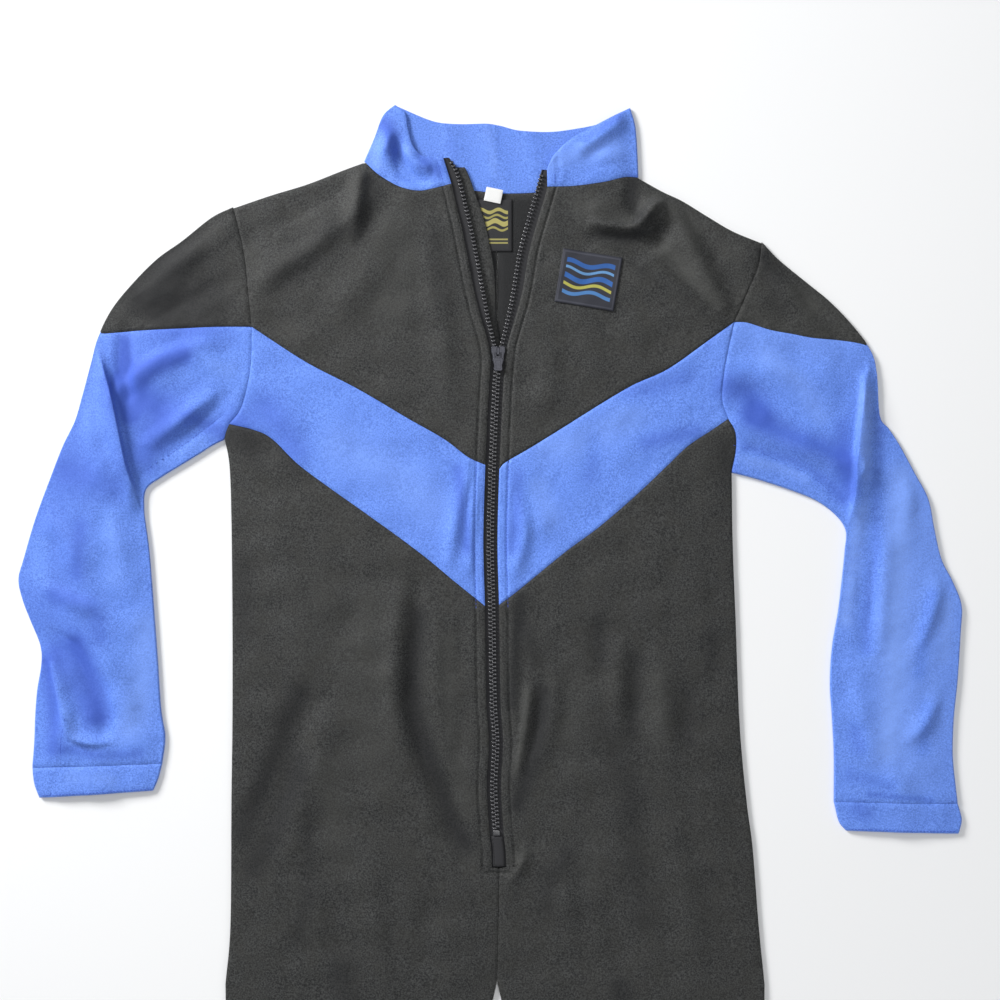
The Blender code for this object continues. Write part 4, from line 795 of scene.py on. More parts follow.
def seamPucker(grid, fromEdge):
    # ripples that are flat on the seam itself and fade further off
    seed, shortest, longest, tall, reach = layers["pucker"]
    waves = ripple(grid.reshape(-1, 2), seed, shortest, longest, layers["puckerWaves"])
    waves = waves.reshape(fromEdge.shape)
    return tall * waves * np.exp(-(fromEdge / reach) ** 2) * (1 - seamRoll(fromEdge))


def clothShell(name, grid, under, wall, dipDepth, dipSides=everySide, push=None, front=False):
    # upper skin over the under heights, lower skin below it, and a rim between them; a front's
    # seams pucker, and its map is its plan, so that the knit runs on from panel to panel
    rows, columns = grid.shape[:2]
    fromEdge = edgeDistance(grid, dipSides)
    roll = seamRoll(fromEdge)
    over = under + wall - dipDepth * roll
    if front:
        over = over + seamPucker(grid, fromEdge)
    spots = grid if push is None else grid + push
    top, base = (np.dstack([spots, level]).reshape(-1, 3)
                 for level in (over, under + layers["seamLift"] * roll))
    count = rows * columns
    faces = np.vstack([gridFaces(rows, columns), gridFaces(rows, columns, count)[:, ::-1],
                       rimFaces(rows, columns, count)])
    clothMap = grid if front else clothCoordinates(grid)
    uv = np.tile(clothMap.reshape(-1, 2), (2, 1))
    return closeSkin(makeMesh(name, np.vstack([top, base]), faces, uv))


print("stage: curves and helpers ready")


def nodeGroup(name, inputs, outputs):
    # a shader group: each input has its kind, and every output is a number
    tree = bpy.data.node_groups.new(name, "ShaderNodeTree")
    for socket, kind in inputs.items():
        tree.interface.new_socket(socket, in_out="INPUT", socket_type="NodeSocket" + kind)
    for socket in outputs:
        tree.interface.new_socket(socket, in_out="OUTPUT", socket_type="NodeSocketFloat")
    return tree, tree.nodes.new("NodeGroupInput"), tree.nodes.new("NodeGroupOutput")


def feed(tree, node, values):
    # each value is a number, a colour as (red, green, blue), or another node's socket
    for socket, value in values.items():
        if isinstance(value, bpy.types.NodeSocket):
            tree.links.new(value, node.inputs[socket])
        else:
            node.inputs[socket].default_value = (*value, 1) if isinstance(value, tuple) else value


def addNode(tree, kind, settings=None, values=None):
    # settings are the node's own, and values go to its sockets
    node = tree.nodes.new(kind)
    for name, value in (settings or {}).items():
        setattr(node, name, value)
    feed(tree, node, values or {})
    return node


def mathNode(tree, operation, *values):
    node = addNode(tree, "ShaderNodeMath", {"operation": operation}, dict(enumerate(values)))
    return node.outputs[0]


def rangeNode(tree, value, fromRange, toRange):
    # stretches one range to the other, and stops at its ends
    low, high = fromRange
    start, stop = toRange
    node = addNode(tree, "ShaderNodeMapRange", values={0: value, 1: low, 2: high, 3: start, 4: stop})
    return node.outputs[0]


def mixColours(tree, share, first, second):
    # the first colour where the share is 0, the second where it is 1
    node = addNode(tree, "ShaderNodeMix", {"data_type": "RGBA"}, {0: share, 6: first, 7: second})
    return node.outputs[2]


def noiseNode(tree, scale, detail, rough):
    # noise on the piece's own coordinates
    place = addNode(tree, "ShaderNodeTexCoord").outputs["Object"]
    node = addNode(tree, "ShaderNodeTexNoise", values={
        "Vector": place, "Scale": scale, "Detail": detail, "Roughness": rough})
    return node.outputs["Fac"]


def bumpNode(tree, height, strength, distance):
    node = addNode(tree, "ShaderNodeBump", values={
        "Height": height, "Strength": strength, "Distance": distance})
    return node.outputs[0]


knitLook = {
    "wale": 0.00095,  # width of a knitted column, in metres
    "course": 0.00080,  # height of a row
    "slant": 0.5,
    "loopHeight": 0.45,
    "napHeight": 0.9,
    "fleck": (620.0, 3.0, 0.7),  # noise: scale, detail, roughness
    "cloud": (55.0, 4.0, 0.6),
    "fleckRange": (0.38, 0.62),  # noise values that give the dark and the light colour
    "cloudRange": (0.40, 0.75),
    "cloudShare": 0.5,  # how far the worn colour covers
    # how far the painted shade and the painted light cover
    "shadeShare": 0.85,
    "lightShare": 0.80,
    "bump": (0.6, 0.0005),  # strength, height in metres
    "sheenRough": 0.45,
}


def buildKnit():
    # columns of slanted loops: |sin| across a column, shifted by a sine along it;
    # flecks and clouds are noise at two sizes
    tree, enter, leave = nodeGroup("knitPattern", {"Map": "Vector"}, ("Fleck", "Cloud", "Height"))
    parts = addNode(tree, "ShaderNodeSeparateXYZ", values={0: enter.outputs["Map"]})
    column = mathNode(tree, "MULTIPLY", parts.outputs[0], math.pi / knitLook["wale"])
    row = mathNode(tree, "MULTIPLY", parts.outputs[1], 2 * math.pi / knitLook["course"])
    slant = mathNode(tree, "MULTIPLY", mathNode(tree, "SINE", row), knitLook["slant"])
    wave = mathNode(tree, "SINE", mathNode(tree, "ADD", column, slant))
    loops = mathNode(tree, "MULTIPLY", mathNode(tree, "ABSOLUTE", wave), knitLook["loopHeight"])
    fleck = noiseNode(tree, *knitLook["fleck"])
    nap = mathNode(tree, "MULTIPLY", fleck, knitLook["napHeight"])
    feed(tree, leave, {"Fleck": fleck, "Cloud": noiseNode(tree, *knitLook["cloud"]),
                       "Height": mathNode(tree, "ADD", loops, nap)})
    return tree


def buildWeave():
    # threads over and under: the product of two sines, their sign swapped every thread
    tree, enter, leave = nodeGroup("weavePattern", {"Map": "Vector", "Pitch": "Float"}, ("Thread",))
    parts = addNode(tree, "ShaderNodeSeparateXYZ", values={0: enter.outputs["Map"]})
    waves = []
    for axis in (0, 1):
        threads = mathNode(tree, "DIVIDE", parts.outputs[axis], enter.outputs["Pitch"])
        waves.append(mathNode(tree, "SINE", mathNode(tree, "MULTIPLY", threads, math.pi)))
    product = mathNode(tree, "MULTIPLY", *waves)
    feed(tree, leave, {"Thread": mathNode(tree, "MULTIPLY_ADD", product, 0.5, 0.5)})
    return tree


def buildWear():
    # smudges: noise at a coarse and a fine size, for roughness and a faint bump
    tree, enter, leave = nodeGroup("fineWear", {"Scale": "Float"}, ("Smudge", "Grain"))
    scale = enter.outputs["Scale"]
    fineScale = mathNode(tree, "MULTIPLY", scale, 6.0)
    feed(tree, leave, {"Smudge": noiseNode(tree, scale, 4.0, 0.6),
                       "Grain": noiseNode(tree, fineScale, 2.0, 0.5)})
    return tree


knitGroup = buildKnit()
weaveGroup = buildWeave()
wearGroup = buildWear()


def startMaterial(name):
    material = bpy.data.materials.new(name)
    material.use_nodes = True
    return material, material.node_tree


def setSurface(tree, values):
    feed(tree, tree.nodes["Principled BSDF"], values)


# each cloth's fourth and fifth colours are painted shade and painted light
knitColours = {
    "blackKnit": {"dark": (0.0042, 0.0046, 0.0050), "light": (0.0530, 0.0545, 0.0535),
                  "cloud": (0.0300, 0.0295, 0.0255), "paintedShade": (0.0025, 0.0030, 0.0045),
                  "paintedLight": (0.0560, 0.0570, 0.0530), "sheen": 0.11, "tint": (0.60, 0.61, 0.60),
                  "rough": 0.62, "specular": 0.34},
    "blueKnit": {"dark": (0.080, 0.175, 0.62), "light": (0.170, 0.330, 0.92),
                 "cloud": (0.120, 0.250, 0.78), "paintedShade": (0.040, 0.095, 0.50),
                 "paintedLight": (0.230, 0.390, 0.92), "sheen": 0.14, "tint": (0.50, 0.64, 1.0),
                 "rough": 0.64, "specular": 0.32},
}


def knitMaterial(name):
    # flecks of two colours, worn clouds over them, then painted shade and painted light in bands,
    # partly the nap's own tone
    look = knitColours[name]
    material, tree = startMaterial(name)
    flat = addNode(tree, "ShaderNodeUVMap", {"uv_map": "clothMap"}).outputs[0]
    knit = addNode(tree, "ShaderNodeGroup", {"node_tree": knitGroup}, {"Map": flat})
    # painted shade and painted light, point by point
    shadeTone = addNode(tree, "ShaderNodeAttribute", {"attribute_name": "shadeAndNapTone"}).outputs["Fac"]
    fleck = rangeNode(tree, knit.outputs["Fleck"], knitLook["fleckRange"], (0.0, 1.0))
    worn = rangeNode(tree, knit.outputs["Cloud"], knitLook["cloudRange"], (0.0, knitLook["cloudShare"]))
    shadeMix = rangeNode(tree, shadeTone, (0.0, 1.0), (0.0, knitLook["shadeShare"]))
    lightMix = rangeNode(tree, shadeTone, (0.0, -1.0), (0.0, knitLook["lightShare"]))
    colour = mixColours(tree, fleck, look["dark"], look["light"])
    # worn clouds, then painted shade, then painted light
    for share, over in ((worn, "cloud"), (shadeMix, "paintedShade"), (lightMix, "paintedLight")):
        colour = mixColours(tree, share, colour, look[over])
    setSurface(tree, {
        "Base Color": colour,
        "Normal": bumpNode(tree, knit.outputs["Height"], *knitLook["bump"]),
        "Roughness": look["rough"],
        "Specular IOR Level": look["specular"],
        "Sheen Weight": look["sheen"],
        "Sheen Roughness": knitLook["sheenRough"],
        "Sheen Tint": look["tint"],
    })
    return material


plainLooks = {
    "teethPlastic": {"colour": (0.034, 0.034, 0.039), "rough": 0.22, "specular": 0.95,
                     "metal": 0.0},
    "sliderMetal": {"colour": (0.040, 0.041, 0.052), "rough": 0.22, "specular": 0.6,
                    "metal": 0.6},
    "blackThread": {"colour": (0.014, 0.015, 0.015), "rough": 0.60, "specular": 0.3,
                    "metal": 0.0},
    "blueThread": {"colour": (0.040, 0.090, 0.50), "rough": 0.55, "specular": 0.3,
                   "metal": 0.0},
}
wearLook = {
    "scale": 260.0,
    "smudgeRange": (0.3, 0.7),  # noise values
    "smoother": 0.06,  # roughness changes by up to these
    "rougher": 0.12,
    "bump": (0.12, 0.0002),  # strength, height in metres
}


def plainMaterial(name):
    look = plainLooks[name]
    material, tree = startMaterial(name)
    wear = addNode(tree, "ShaderNodeGroup", {"node_tree": wearGroup}, {"Scale": wearLook["scale"]})
    rough = (look["rough"] - wearLook["smoother"], look["rough"] + wearLook["rougher"])
    setSurface(tree, {
        "Base Color": look["colour"],
        "Metallic": look["metal"],
        "Specular IOR Level": look["specular"],
        "Roughness": rangeNode(tree, wear.outputs["Smudge"], wearLook["smudgeRange"], rough),
        "Normal": bumpNode(tree, wear.outputs["Grain"], *wearLook["bump"]),
    })
    return material


# pitch is the width of a thread, in metres
wovenLooks = {
    "tapeCloth": {"pitch": 0.00075, "rough": 0.75, "dark": (0.010, 0.010, 0.012),
                  "light": (0.040, 0.040, 0.044)},
    "tabCloth": {"pitch": 0.0005, "rough": 0.75, "dark": (0.70, 0.70, 0.69),
                 "light": (0.86, 0.86, 0.85)},
}
weaveBump = (0.5, 0.00025)
weaveSpecular = 0.35


def wovenMaterial(name, look):
    # threads shade between two colours; the map and the colour are returned for a design on top
    material, tree = startMaterial(name)
    flat = addNode(tree, "ShaderNodeUVMap", {"uv_map": "clothMap"}).outputs[0]
    weave = addNode(tree, "ShaderNodeGroup", {"node_tree": weaveGroup},
                    {"Pitch": look["pitch"], "Map": flat}).outputs[0]
    colour = mixColours(tree, weave, look["dark"], look["light"])
    setSurface(tree, {
        "Base Color": colour,
        "Normal": bumpNode(tree, weave, *weaveBump),
        "Roughness": look["rough"],
        "Specular IOR Level": weaveSpecular,
    })
    return material, tree, flat, colour


# Sizes are in metres. Each band: height of its middle, half its width, its swing, its waves
# over the width, their phase, its colour.
labelDesigns = {
    "patchCloth": {
        "size": (0.060, 0.054), "margin": 0.0058,
        "border": (0.0016, 0.0006),  # from the rim, half its width
        "borderColour": (0.045, 0.048, 0.065),
        "bands": [(0.0415, 0.0022, 0.0022, 1.5, 0.3, (0.022, 0.095, 0.32)),
                  (0.0345, 0.0012, 0.0024, 1.5, 0.7, (0.110, 0.260, 0.50)),
                  (0.0265, 0.0024, 0.0026, 1.5, 1.2, (0.026, 0.110, 0.36)),
                  (0.0195, 0.0014, 0.0024, 1.5, 1.7, (0.400, 0.380, 0.075)),
                  (0.0125, 0.0017, 0.0022, 1.5, 2.3, (0.060, 0.180, 0.42))],
        "dark": (0.014, 0.015, 0.022), "light": (0.034, 0.036, 0.050),
        "pitch": 0.00055, "rough": 0.6,
    },
    "labelCloth": {
        "size": (0.036, 0.052), "margin": 0.0042,
        "border": None,
        "bands": [(0.0405, 0.0016, 0.0016, 2.0, 0.0, (0.36, 0.32, 0.10)),
                  (0.0350, 0.0010, 0.0016, 2.0, 0.6, (0.30, 0.27, 0.08)),
                  (0.0290, 0.0024, 0.0018, 2.0, 1.2, (0.38, 0.34, 0.11)),
                  (0.0225, 0.0010, 0.0016, 2.0, 1.9, (0.30, 0.27, 0.08)),
                  (0.0120, 0.0007, 0.0, 1.0, 0.0, (0.30, 0.27, 0.09)),
                  (0.0085, 0.0007, 0.0, 1.0, 0.0, (0.30, 0.27, 0.09))],
        "dark": (0.012, 0.012, 0.014), "light": (0.028, 0.028, 0.031),
        "pitch": 0.0005, "rough": 0.6,
    },
}


def bandMask(tree, value, middle, half, soft=0.00025):
    # 1 within half of the middle, falling to 0 over the soft width
    away = mathNode(tree, "ABSOLUTE", mathNode(tree, "SUBTRACT", value, middle))
    return rangeNode(tree, away, (half, half + soft), (1.0, 0.0))


def designMaterial(name):
    # wavy bands: a band's middle moves up and down as a sine of the way across
    look = labelDesigns[name]
    width, height = look["size"]
    material, tree, flat, colour = wovenMaterial(name, look)
    u, v = addNode(tree, "ShaderNodeSeparateXYZ", values={0: flat}).outputs[:2]
    inside = bandMask(tree, u, width / 2, width / 2 - look["margin"])
    for middle, half, swing, waves, phase, thread in look["bands"]:
        turn = mathNode(tree, "MULTIPLY", u, 2 * math.pi * waves / width)
        wave = mathNode(tree, "SINE", mathNode(tree, "ADD", turn, phase))
        shifted = mathNode(tree, "SUBTRACT", v, mathNode(tree, "MULTIPLY", wave, swing))
        mask = mathNode(tree, "MULTIPLY", bandMask(tree, shifted, middle, half), inside)
        colour = mixColours(tree, mask, colour, thread)
    if look["border"]:
        rim, half = look["border"]
        gaps = []
        for axis, size in ((u, width), (v, height)):
            fromMiddle = mathNode(tree, "ABSOLUTE", mathNode(tree, "SUBTRACT", axis, size / 2))
            gaps.append(mathNode(tree, "SUBTRACT", fromMiddle, size / 2 - rim - half))
        outside = mathNode(tree, "MAXIMUM", *gaps)
        mask = bandMask(tree, outside, 0.0, half, 0.0002)
        colour = mixColours(tree, mask, colour, look["borderColour"])
    setSurface(tree, {"Base Color": colour})
    return material


materials = {name: knitMaterial(name) for name in knitColours}
materials.update({name: plainMaterial(name) for name in plainLooks})
materials.update({name: designMaterial(name) for name in labelDesigns})
materials.update({name: wovenMaterial(name, look)[0] for name, look in wovenLooks.items()})
print("stage: materials made")


def dress(piece, node, finish, body="suit"):
    piece.data.materials.append(materials[finish])
    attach(piece, body)
    if node:
        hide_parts(node)


def dressCloth(piece, node, finish):
    # dressed like any other piece
    dress(piece, node, finish)


panels = {
    "neckShares": (6, 8),  # of a front's columns, for the neck and for the shoulder
    "backShares": (3, 3),
    "backLength": 790,  # neck to crotch, and crotch to ankle
    "legLength": 750,
    "zipEndRows": (1.6, 0.4, -0.4, -1.3),  # a front's rows from the zip's lower end
    "stitchRows": (1.8, 0.9, 0, -0.9, -1.8),  # and from the topstitching below it
    "clear": 3,  # no other row this close above them
    "below": 4,  # or this close below them
    "closing": 30,  # width over which the fronts close up below the zip
}


def flatPanel(kind, side, grid, finish):
    under, push = upperHeight(grid)
    piece = clothShell(kind + side.capitalize(), pullIn(grid), under, layers["wall"],
                       layers["seamDip"], push=push, front=True)
    dressCloth(piece, kind + "_" + side, finish)


def topEdge(side, neck, shares):
    # the neck and the shoulder, each with its share of the columns
    return [(paths[side][neck], shares[0]), (paths[side]["shoulder"], shares[1])]


def partsLength(parts):
    return sum(pathLengths(path)[-1] for path, _ in parts)


def acrossSteps(side):
    # columns from the zip outwards, closer together where the topstitching runs
    length = partsLength(topEdge(side, "neck", panels["neckShares"]))
    steps = seamSteps(length, meshSize["front"])
    start, stop, apart = meshSize["besideZip"]
    fine = np.arange(start, stop, apart) / length
    keep = (steps < fine[0] - 0.4 / length) | (steps > fine[-1] + 0.8 / length)
    return np.sort(np.concatenate([steps[keep], fine]))


def slantedPanel(side, low, top, zipFrom, zipTo, armhole):
    # a patch from one slanted seam up to the next, and from the zip out to the armhole
    u = acrossSteps(side)
    inner = zipEdge(side, outlines[side][zipFrom], outlines[side][zipTo])
    v = seamSteps(pathLengths(inner)[-1], meshSize["front"])
    return blendGrid(alongPath(paths[side][low], u), alongParts(top, u), alongPath(inner, v),
                     alongPath(paths[side][armhole][::-1], v), u, v)


def makeYoke(side):
    top = topEdge(side, "neck", panels["neckShares"])
    grid = slantedPanel(side, "chevronTop", top, "zipChevronTop", "zipNeck", "armholeCap")
    flatPanel("yoke", side, grid, "blackKnit")


def makeChevron(side):
    top = [(paths[side]["chevronTop"], 1)]
    grid = slantedPanel(side, "chevronLow", top, "zipChevronLow", "zipChevronTop", "armholeBlue")
    flatPanel("chevron", side, grid, "blueKnit")


def makeLeg(side, hip, spacing, u):
    # a patch from the hip's row of points to the ankle, between the leg's two edges
    v = seamSteps(panels["legLength"], spacing)
    ankle = np.array([outlines[side][name][-1] for name in ("legIn", "legOut")], float)
    return blendGrid(hip, alongPath(ankle, u), alongPath(paths[side]["legIn"], v),
                     alongPath(paths[side]["legOut"], v), u, v)


def makeFront(side):
    # a patch from the band's seam to the crotch, then the leg
    u = acrossSteps(side)
    yTop = outlines[side]["zipChevronLow"]
    yLow = crotch[1]
    zipEnd, stitchEnd = zipSizes["end"], zipSizes["stitchEnd"]
    steps = seamSteps(yTop - zipEnd, meshSize["front"])
    steps = steps[steps < 1 - panels["clear"] / (yTop - zipEnd)]
    y = np.concatenate([yTop + steps * (zipEnd - yTop),
                        zipEnd + np.array(panels["zipEndRows"]),
                        stitchEnd + np.array(panels["stitchRows"]),
                        np.arange(stitchEnd - panels["below"], yLow + 1.5, -meshSize["front"]), [yLow]])
    v = (yTop - y) / (yTop - yLow)
    sign = sideSign[side]
    middle = tableX(chainLine, y)
    closed = middle + sign * (zipSizes["rowHalf"] + zipSizes["edgeClosed"])
    inner = np.column_stack([np.where(y > zipEnd, edgeX(side, y), closed), y])
    outerPath = np.vstack([paths[side]["armholeLow"], paths[side]["side"][1:]])
    # even rows outside, apart from the first, which keep close to the band's seam
    outer = alongPath(outerPath, np.concatenate([v[:6], np.linspace(v[5], 1, len(v) - 5)[1:]]))
    hip = alongPath(np.array([inner[-1], outer[-1]]), u)
    grid = blendGrid(alongPath(paths[side]["chevronLow"], u), hip, inner, outer, u, v)
    # below the zip the two fronts meet
    fade = 1 - ease(0, panels["closing"], np.abs(grid[..., 0] - inner[:, :1]))
    shift = np.abs(inner[:, 0] - middle)[:, None] * fade
    grid[..., 0] -= np.where((y < zipEnd)[:, None], sign * shift, 0)
    grid = np.vstack([grid, makeLeg(side, grid[-1], meshSize["leg"], u)[5:]])
    flatPanel("front", side, grid, "blackKnit")


def makeBack(side):
    # a flat patch from the neck to the crotch, then the leg
    path = paths[side]
    outerPath = np.vstack([path["armholeCap"], path["armholeBlue"][1:], path["armholeLow"][1:],
                           path["side"][1:]])
    top = topEdge(side, "backNeck", panels["backShares"])
    u = seamSteps(partsLength(top), meshSize["back"])
    v = seamSteps(panels["backLength"], meshSize["back"])
    inner = np.array([path["backNeck"][0], crotch])
    outer = alongPath(outerPath, v)
    hip = alongPath(np.array([crotch, outer[-1]]), u)
    grid = blendGrid(alongParts(top, u), hip, alongPath(inner, v), outer, u, v)
    grid = np.vstack([grid, makeLeg(side, grid[-1], meshSize["back"], u)[4:]])
    piece = clothShell("back" + side.capitalize(), pullIn(grid), np.zeros(grid.shape[:2]),
                       layers["wall"], layers["backDip"])
    dressCloth(piece, "back_" + side, "blackKnit")


arcAngles = np.radians([60, 30, 0, -30, -60])


def foldArc(edge, outward, top, bottom, inset):
    # half an ellipse from the upper to the lower layer round the fold, bulging outwards
    middle = ((top + bottom) / 2)[:, None]
    half = ((top - bottom) / 2)[:, None]
    reach = layers["foldBulge"] * np.cos(arcAngles)[None, :, None] - inset
    spots = edge[:, None] + reach * outward[:, None]
    return np.concatenate([spots, (middle + half * np.sin(arcAngles)[None])[..., None]], axis=2)


# low folds inside the collar, where nothing lies on its back layer
backFolds = {
    "height": 1.15,
    "sides": ((-62, -34), (40, 68)),  # they rise and fall away between these
    "from": (727, 742),
    "level": 730,
    "length": 7.4,
    "slant": 0.25,
    "sway": (0.8, 23),  # size and length of a slower wave in their spacing
    "power": 1.5,  # above 1: narrow crests
}


def backWaves(back):
    # a sine wave across with uneven spacing, raised to a power and faded at its ends
    x, y = back[..., 0], back[..., 1]
    (leftFrom, leftTo), (rightFrom, rightTo) = backFolds["sides"]
    start = backFolds["from"]
    bare = ease(leftFrom, leftTo, x) * (1 - ease(rightFrom, rightTo, x)) * ease(*start, y)
    size, length = backFolds["sway"]
    slanted = x + backFolds["slant"] * (y - backFolds["level"])
    wave = 0.5 + 0.5 * np.sin(slanted / backFolds["length"] + size * np.sin(x / length))
    return backFolds["height"] * bare * wave ** backFolds["power"]


def tubeSkins(front, back, seamsAt):
    # outer and inner skins: front layer to its last column, round the fold, back layer after it
    wall = layers["wall"]
    top, low, left, right = seamsAt
    under, push = upperHeight(front)
    fromEdge = edgeDistance(front, seamsAt)
    over = under + wall - layers["seamDip"] * seamRoll(fromEdge) + seamPucker(front, fromEdge)
    backRoll = layers["foldDip"] * seamRoll(edgeDistance(back, (top, low, right, left)))
    lift = backWaves(back)
    outward = unit(front[:, -1] - front[:, -3])
    innerFront = front + push
    innerFront[:, -1] -= wall * outward
    innerBack = back.copy()
    innerBack[:, 0] -= wall * unit(back[:, 0] - back[:, 2])
    zeros = np.zeros(len(front))
    arc = foldArc(front[:, -1], outward, over[:, -1], zeros, 0.0)
    innerArc = foldArc(front[:, -1], outward, under[:, -1], zeros + wall, wall)
    outer = np.concatenate([np.dstack([front + push, over]), arc, np.dstack([back, lift])], axis=1)
    inner = np.concatenate([np.dstack([innerFront, under]), innerArc,
                            np.dstack([innerBack, wall - backRoll + lift])], axis=1)
    return outer, inner


def closeTube(outer, inner, row):
    # from the given row on, the first and last columns meet in a second round fold
    wall = layers["wall"]
    inner = inner.copy()
    edge, level = outer[:, 0, :2], outer[:, 0, 2]
    outward = unit(edge - outer[:, 2, :2])
    inner[row:, [0, -1], :2] -= wall * outward[row:, None]
    arc = foldArc(edge, outward, level, outer[:, -1, 2], 0.0)[:, ::-1]
    innerArc = foldArc(edge, outward, inner[:, 0, 2], inner[:, -1, 2], wall)[:, ::-1]
    skins = []
    for skin, fold in ((outer, arc), (inner, innerArc)):
        fold[:row] = skin[:row, :1]
        closed = np.concatenate([fold, skin, skin[:, -1:]], axis=1)
        closed[row:, -1] = closed[row:, 0]
        skins.append(closed)
    return skins


def skinsToPiece(name, outer, inner, openRows):
    # rims join the two skins at both ends, and along the first and last columns where open
    rows, count = outer.shape[:2]
    size = rows * count
    index = np.arange(size).reshape(rows, count)
    rims = [(edge[1:], edge[:-1]) for edge in (index[0], index[-1][::-1])]
    if openRows:
        last = min(openRows, rows - 1)
        rims += [(edge[:-1], edge[1:]) for edge in (index[:last + 1, 0], index[:last + 1, -1][::-1])]
    faces = [gridFaces(rows, count), gridFaces(rows, count, size)[:, ::-1]]
    faces += [np.column_stack([a, b, b + size, a + size]) for a, b in rims]
    points = np.vstack([outer.reshape(-1, 3), inner.reshape(-1, 3)])
    uv = np.tile(clothCoordinates(outer, even=True).reshape(-1, 2), (2, 1))
    return closeSkin(makeMesh(name, points, np.vstack(faces), uv), 2e-6, 1e-6)


def rowsBetween(first, last, u, startRow=None, fade=None):
    # straight rows from one edge to the other; the first rows follow a curved start
    blend = u[None, :, None]
    grid = (1 - blend) * first[:, None] + blend * last[:, None]
    if startRow is not None:
        grid = grid + (startRow - grid[0])[None] * fade[:, None, None]
    return grid


sleeves = {
    "columns": {"cap": 120, "sleeve": 125},  # about the width, for the columns' spacing
    "armholeReach": 3 / 26,  # share of the length over which rows follow the armhole
    "armholePower": 1.3,
    "capEnd": (0.985, 0.993),  # the cap's last rows: even ones up to, and one more
    "capFade": 1.5,  # rows over which the cap's seam fades beyond its tip
    "cuffLength": 32,
}


def sleeveLayout(side):
    # the sleeve's outer edge, the cap's lower seam, its tip's share of that edge, the length
    outerPath = paths[side]["sleeveOut"]
    lengths = pathLengths(outerPath)
    tip = np.array(outlines[side]["capLine"][-1], float)
    near = int(np.argmin(np.linalg.norm(outerPath - tip, axis=1)))
    capPath = densePath(outlines[side]["capLine"][:-1] + [tuple(outerPath[near])])
    return outerPath, capPath, float(lengths[near] / lengths[-1]), float(lengths[-1])


def startFade(fractions):
    return np.clip(1 - fractions / sleeves["armholeReach"], 0, 1) ** sleeves["armholePower"]


def makeCap(side):
    outerPath, capPath, tip, total = sleeveLayout(side)
    v = seamSteps(tip * total, meshSize["sleeve"])[:-1]
    evenTo, end = sleeves["capEnd"]
    v = np.concatenate([v[v < evenTo], [end]])
    outer = alongPath(outerPath, v * tip)
    line = alongPath(capPath, v)
    u = seamSteps(sleeves["columns"]["cap"], meshSize["sleeve"])
    hole = paths[side]["armholeCap"]
    front = rowsBetween(line, outer, u, alongPath(hole[::-1], u), startFade(v * tip))
    back = rowsBetween(outer, line, u, alongPath(hole, u), startFade(v * tip))
    front = pullIn(front, (True, False, True, False))
    back = pullIn(back, (True, False, False, True))
    skins = tubeSkins(front, back, (True, False, True, False))
    piece = skinsToPiece("cap" + side.capitalize(), *skins, openRows=len(v))
    dressCloth(piece, "cap_" + side, "blackKnit")


def makeSleeve(side):
    # open along the cap down to its tip, and a closed tube below it
    outerPath, capPath, tip, total = sleeveLayout(side)
    upper = seamSteps(tip * total, meshSize["sleeve"])[:-4] * tip
    lower = seamSteps((1 - tip) * total, meshSize["sleeve"])[4:]
    v = np.concatenate([upper, [tip], tip + lower * (1 - tip)])
    row = len(upper)
    start = np.vstack([alongPath(capPath, upper / tip), alongPath(outerPath, v[row:])])
    inner = alongPath(paths[side]["sleeveIn"], v)
    hole = [(paths[side]["armholeBlue"], 6), (paths[side]["armholeLow"], 2)]
    holeBack = [(path[::-1], share) for path, share in hole[::-1]]
    u = seamSteps(sleeves["columns"]["sleeve"], meshSize["sleeve"])
    bothEnds = (True, True, False, False)
    front = pullIn(rowsBetween(start, inner, u, alongParts(hole, u), startFade(v)), bothEnds)
    back = pullIn(rowsBetween(inner, start, u, alongParts(holeBack, u), startFade(v)), bothEnds)
    for grid, edge, inside in ((front, 0, 1), (back, -1, -2)):
        grid[:row, edge] += layers["seam"] * unit(grid[:row, inside] - grid[:row, edge])
    outer, innerSkin = tubeSkins(front, back, bothEnds)
    roll = layers["seamDip"] * seamRoll(np.linalg.norm(front - front[:, :1], axis=2))
    roll[row:] *= np.exp(-np.arange(len(v) - row) / sleeves["capFade"])[:, None]
    outer[:, :front.shape[1], 2] -= roll
    piece = skinsToPiece("sleeve" + side.capitalize(), *closeTube(outer, innerSkin, row), row)
    dressCloth(piece, "sleeve_" + side, "blueKnit")


def makeCuff(side):
    v = seamSteps(sleeves["cuffLength"], meshSize["cuff"])
    u = seamSteps(sleeves["columns"]["sleeve"], meshSize["sleeve"])
    outerEdge = alongPath(paths[side]["cuffOut"], v)
    innerEdge = alongPath(paths[side]["cuffIn"], v)
    front, back = (pullIn(rowsBetween(*edges, u), (True, False, False, False))
                   for edges in ((outerEdge, innerEdge), (innerEdge, outerEdge)))
    skins = closeTube(*tubeSkins(front, back, (True, True, False, False)), 0)
    piece = skinsToPiece("cuff" + side.capitalize(), *skins, 0)
    dressCloth(piece, "cuff_" + side, "blueKnit")


collar = {"height": 62, "backColumns": 34}


def collarGrids(side):
    # a patch for the collar's front and one for its back, which meet along its side fold
    path = paths[side]
    u = seamSteps(pathLengths(path["neck"])[-1], meshSize["collar"])
    v = seamSteps(collar["height"], meshSize["collar"])
    grids = []
    for low, top, steps in (("neck", "collarTop", u),
                            ("backNeck", "collarBackTop", np.linspace(0, 1, collar["backColumns"]))):
        end = np.array([path[low][0], path[top][0]])
        grids.append(blendGrid(alongPath(path[low], steps), alongPath(path[top], steps),
                               alongPath(end, v), alongPath(path["collarFold"], v), steps, v))
    return grids


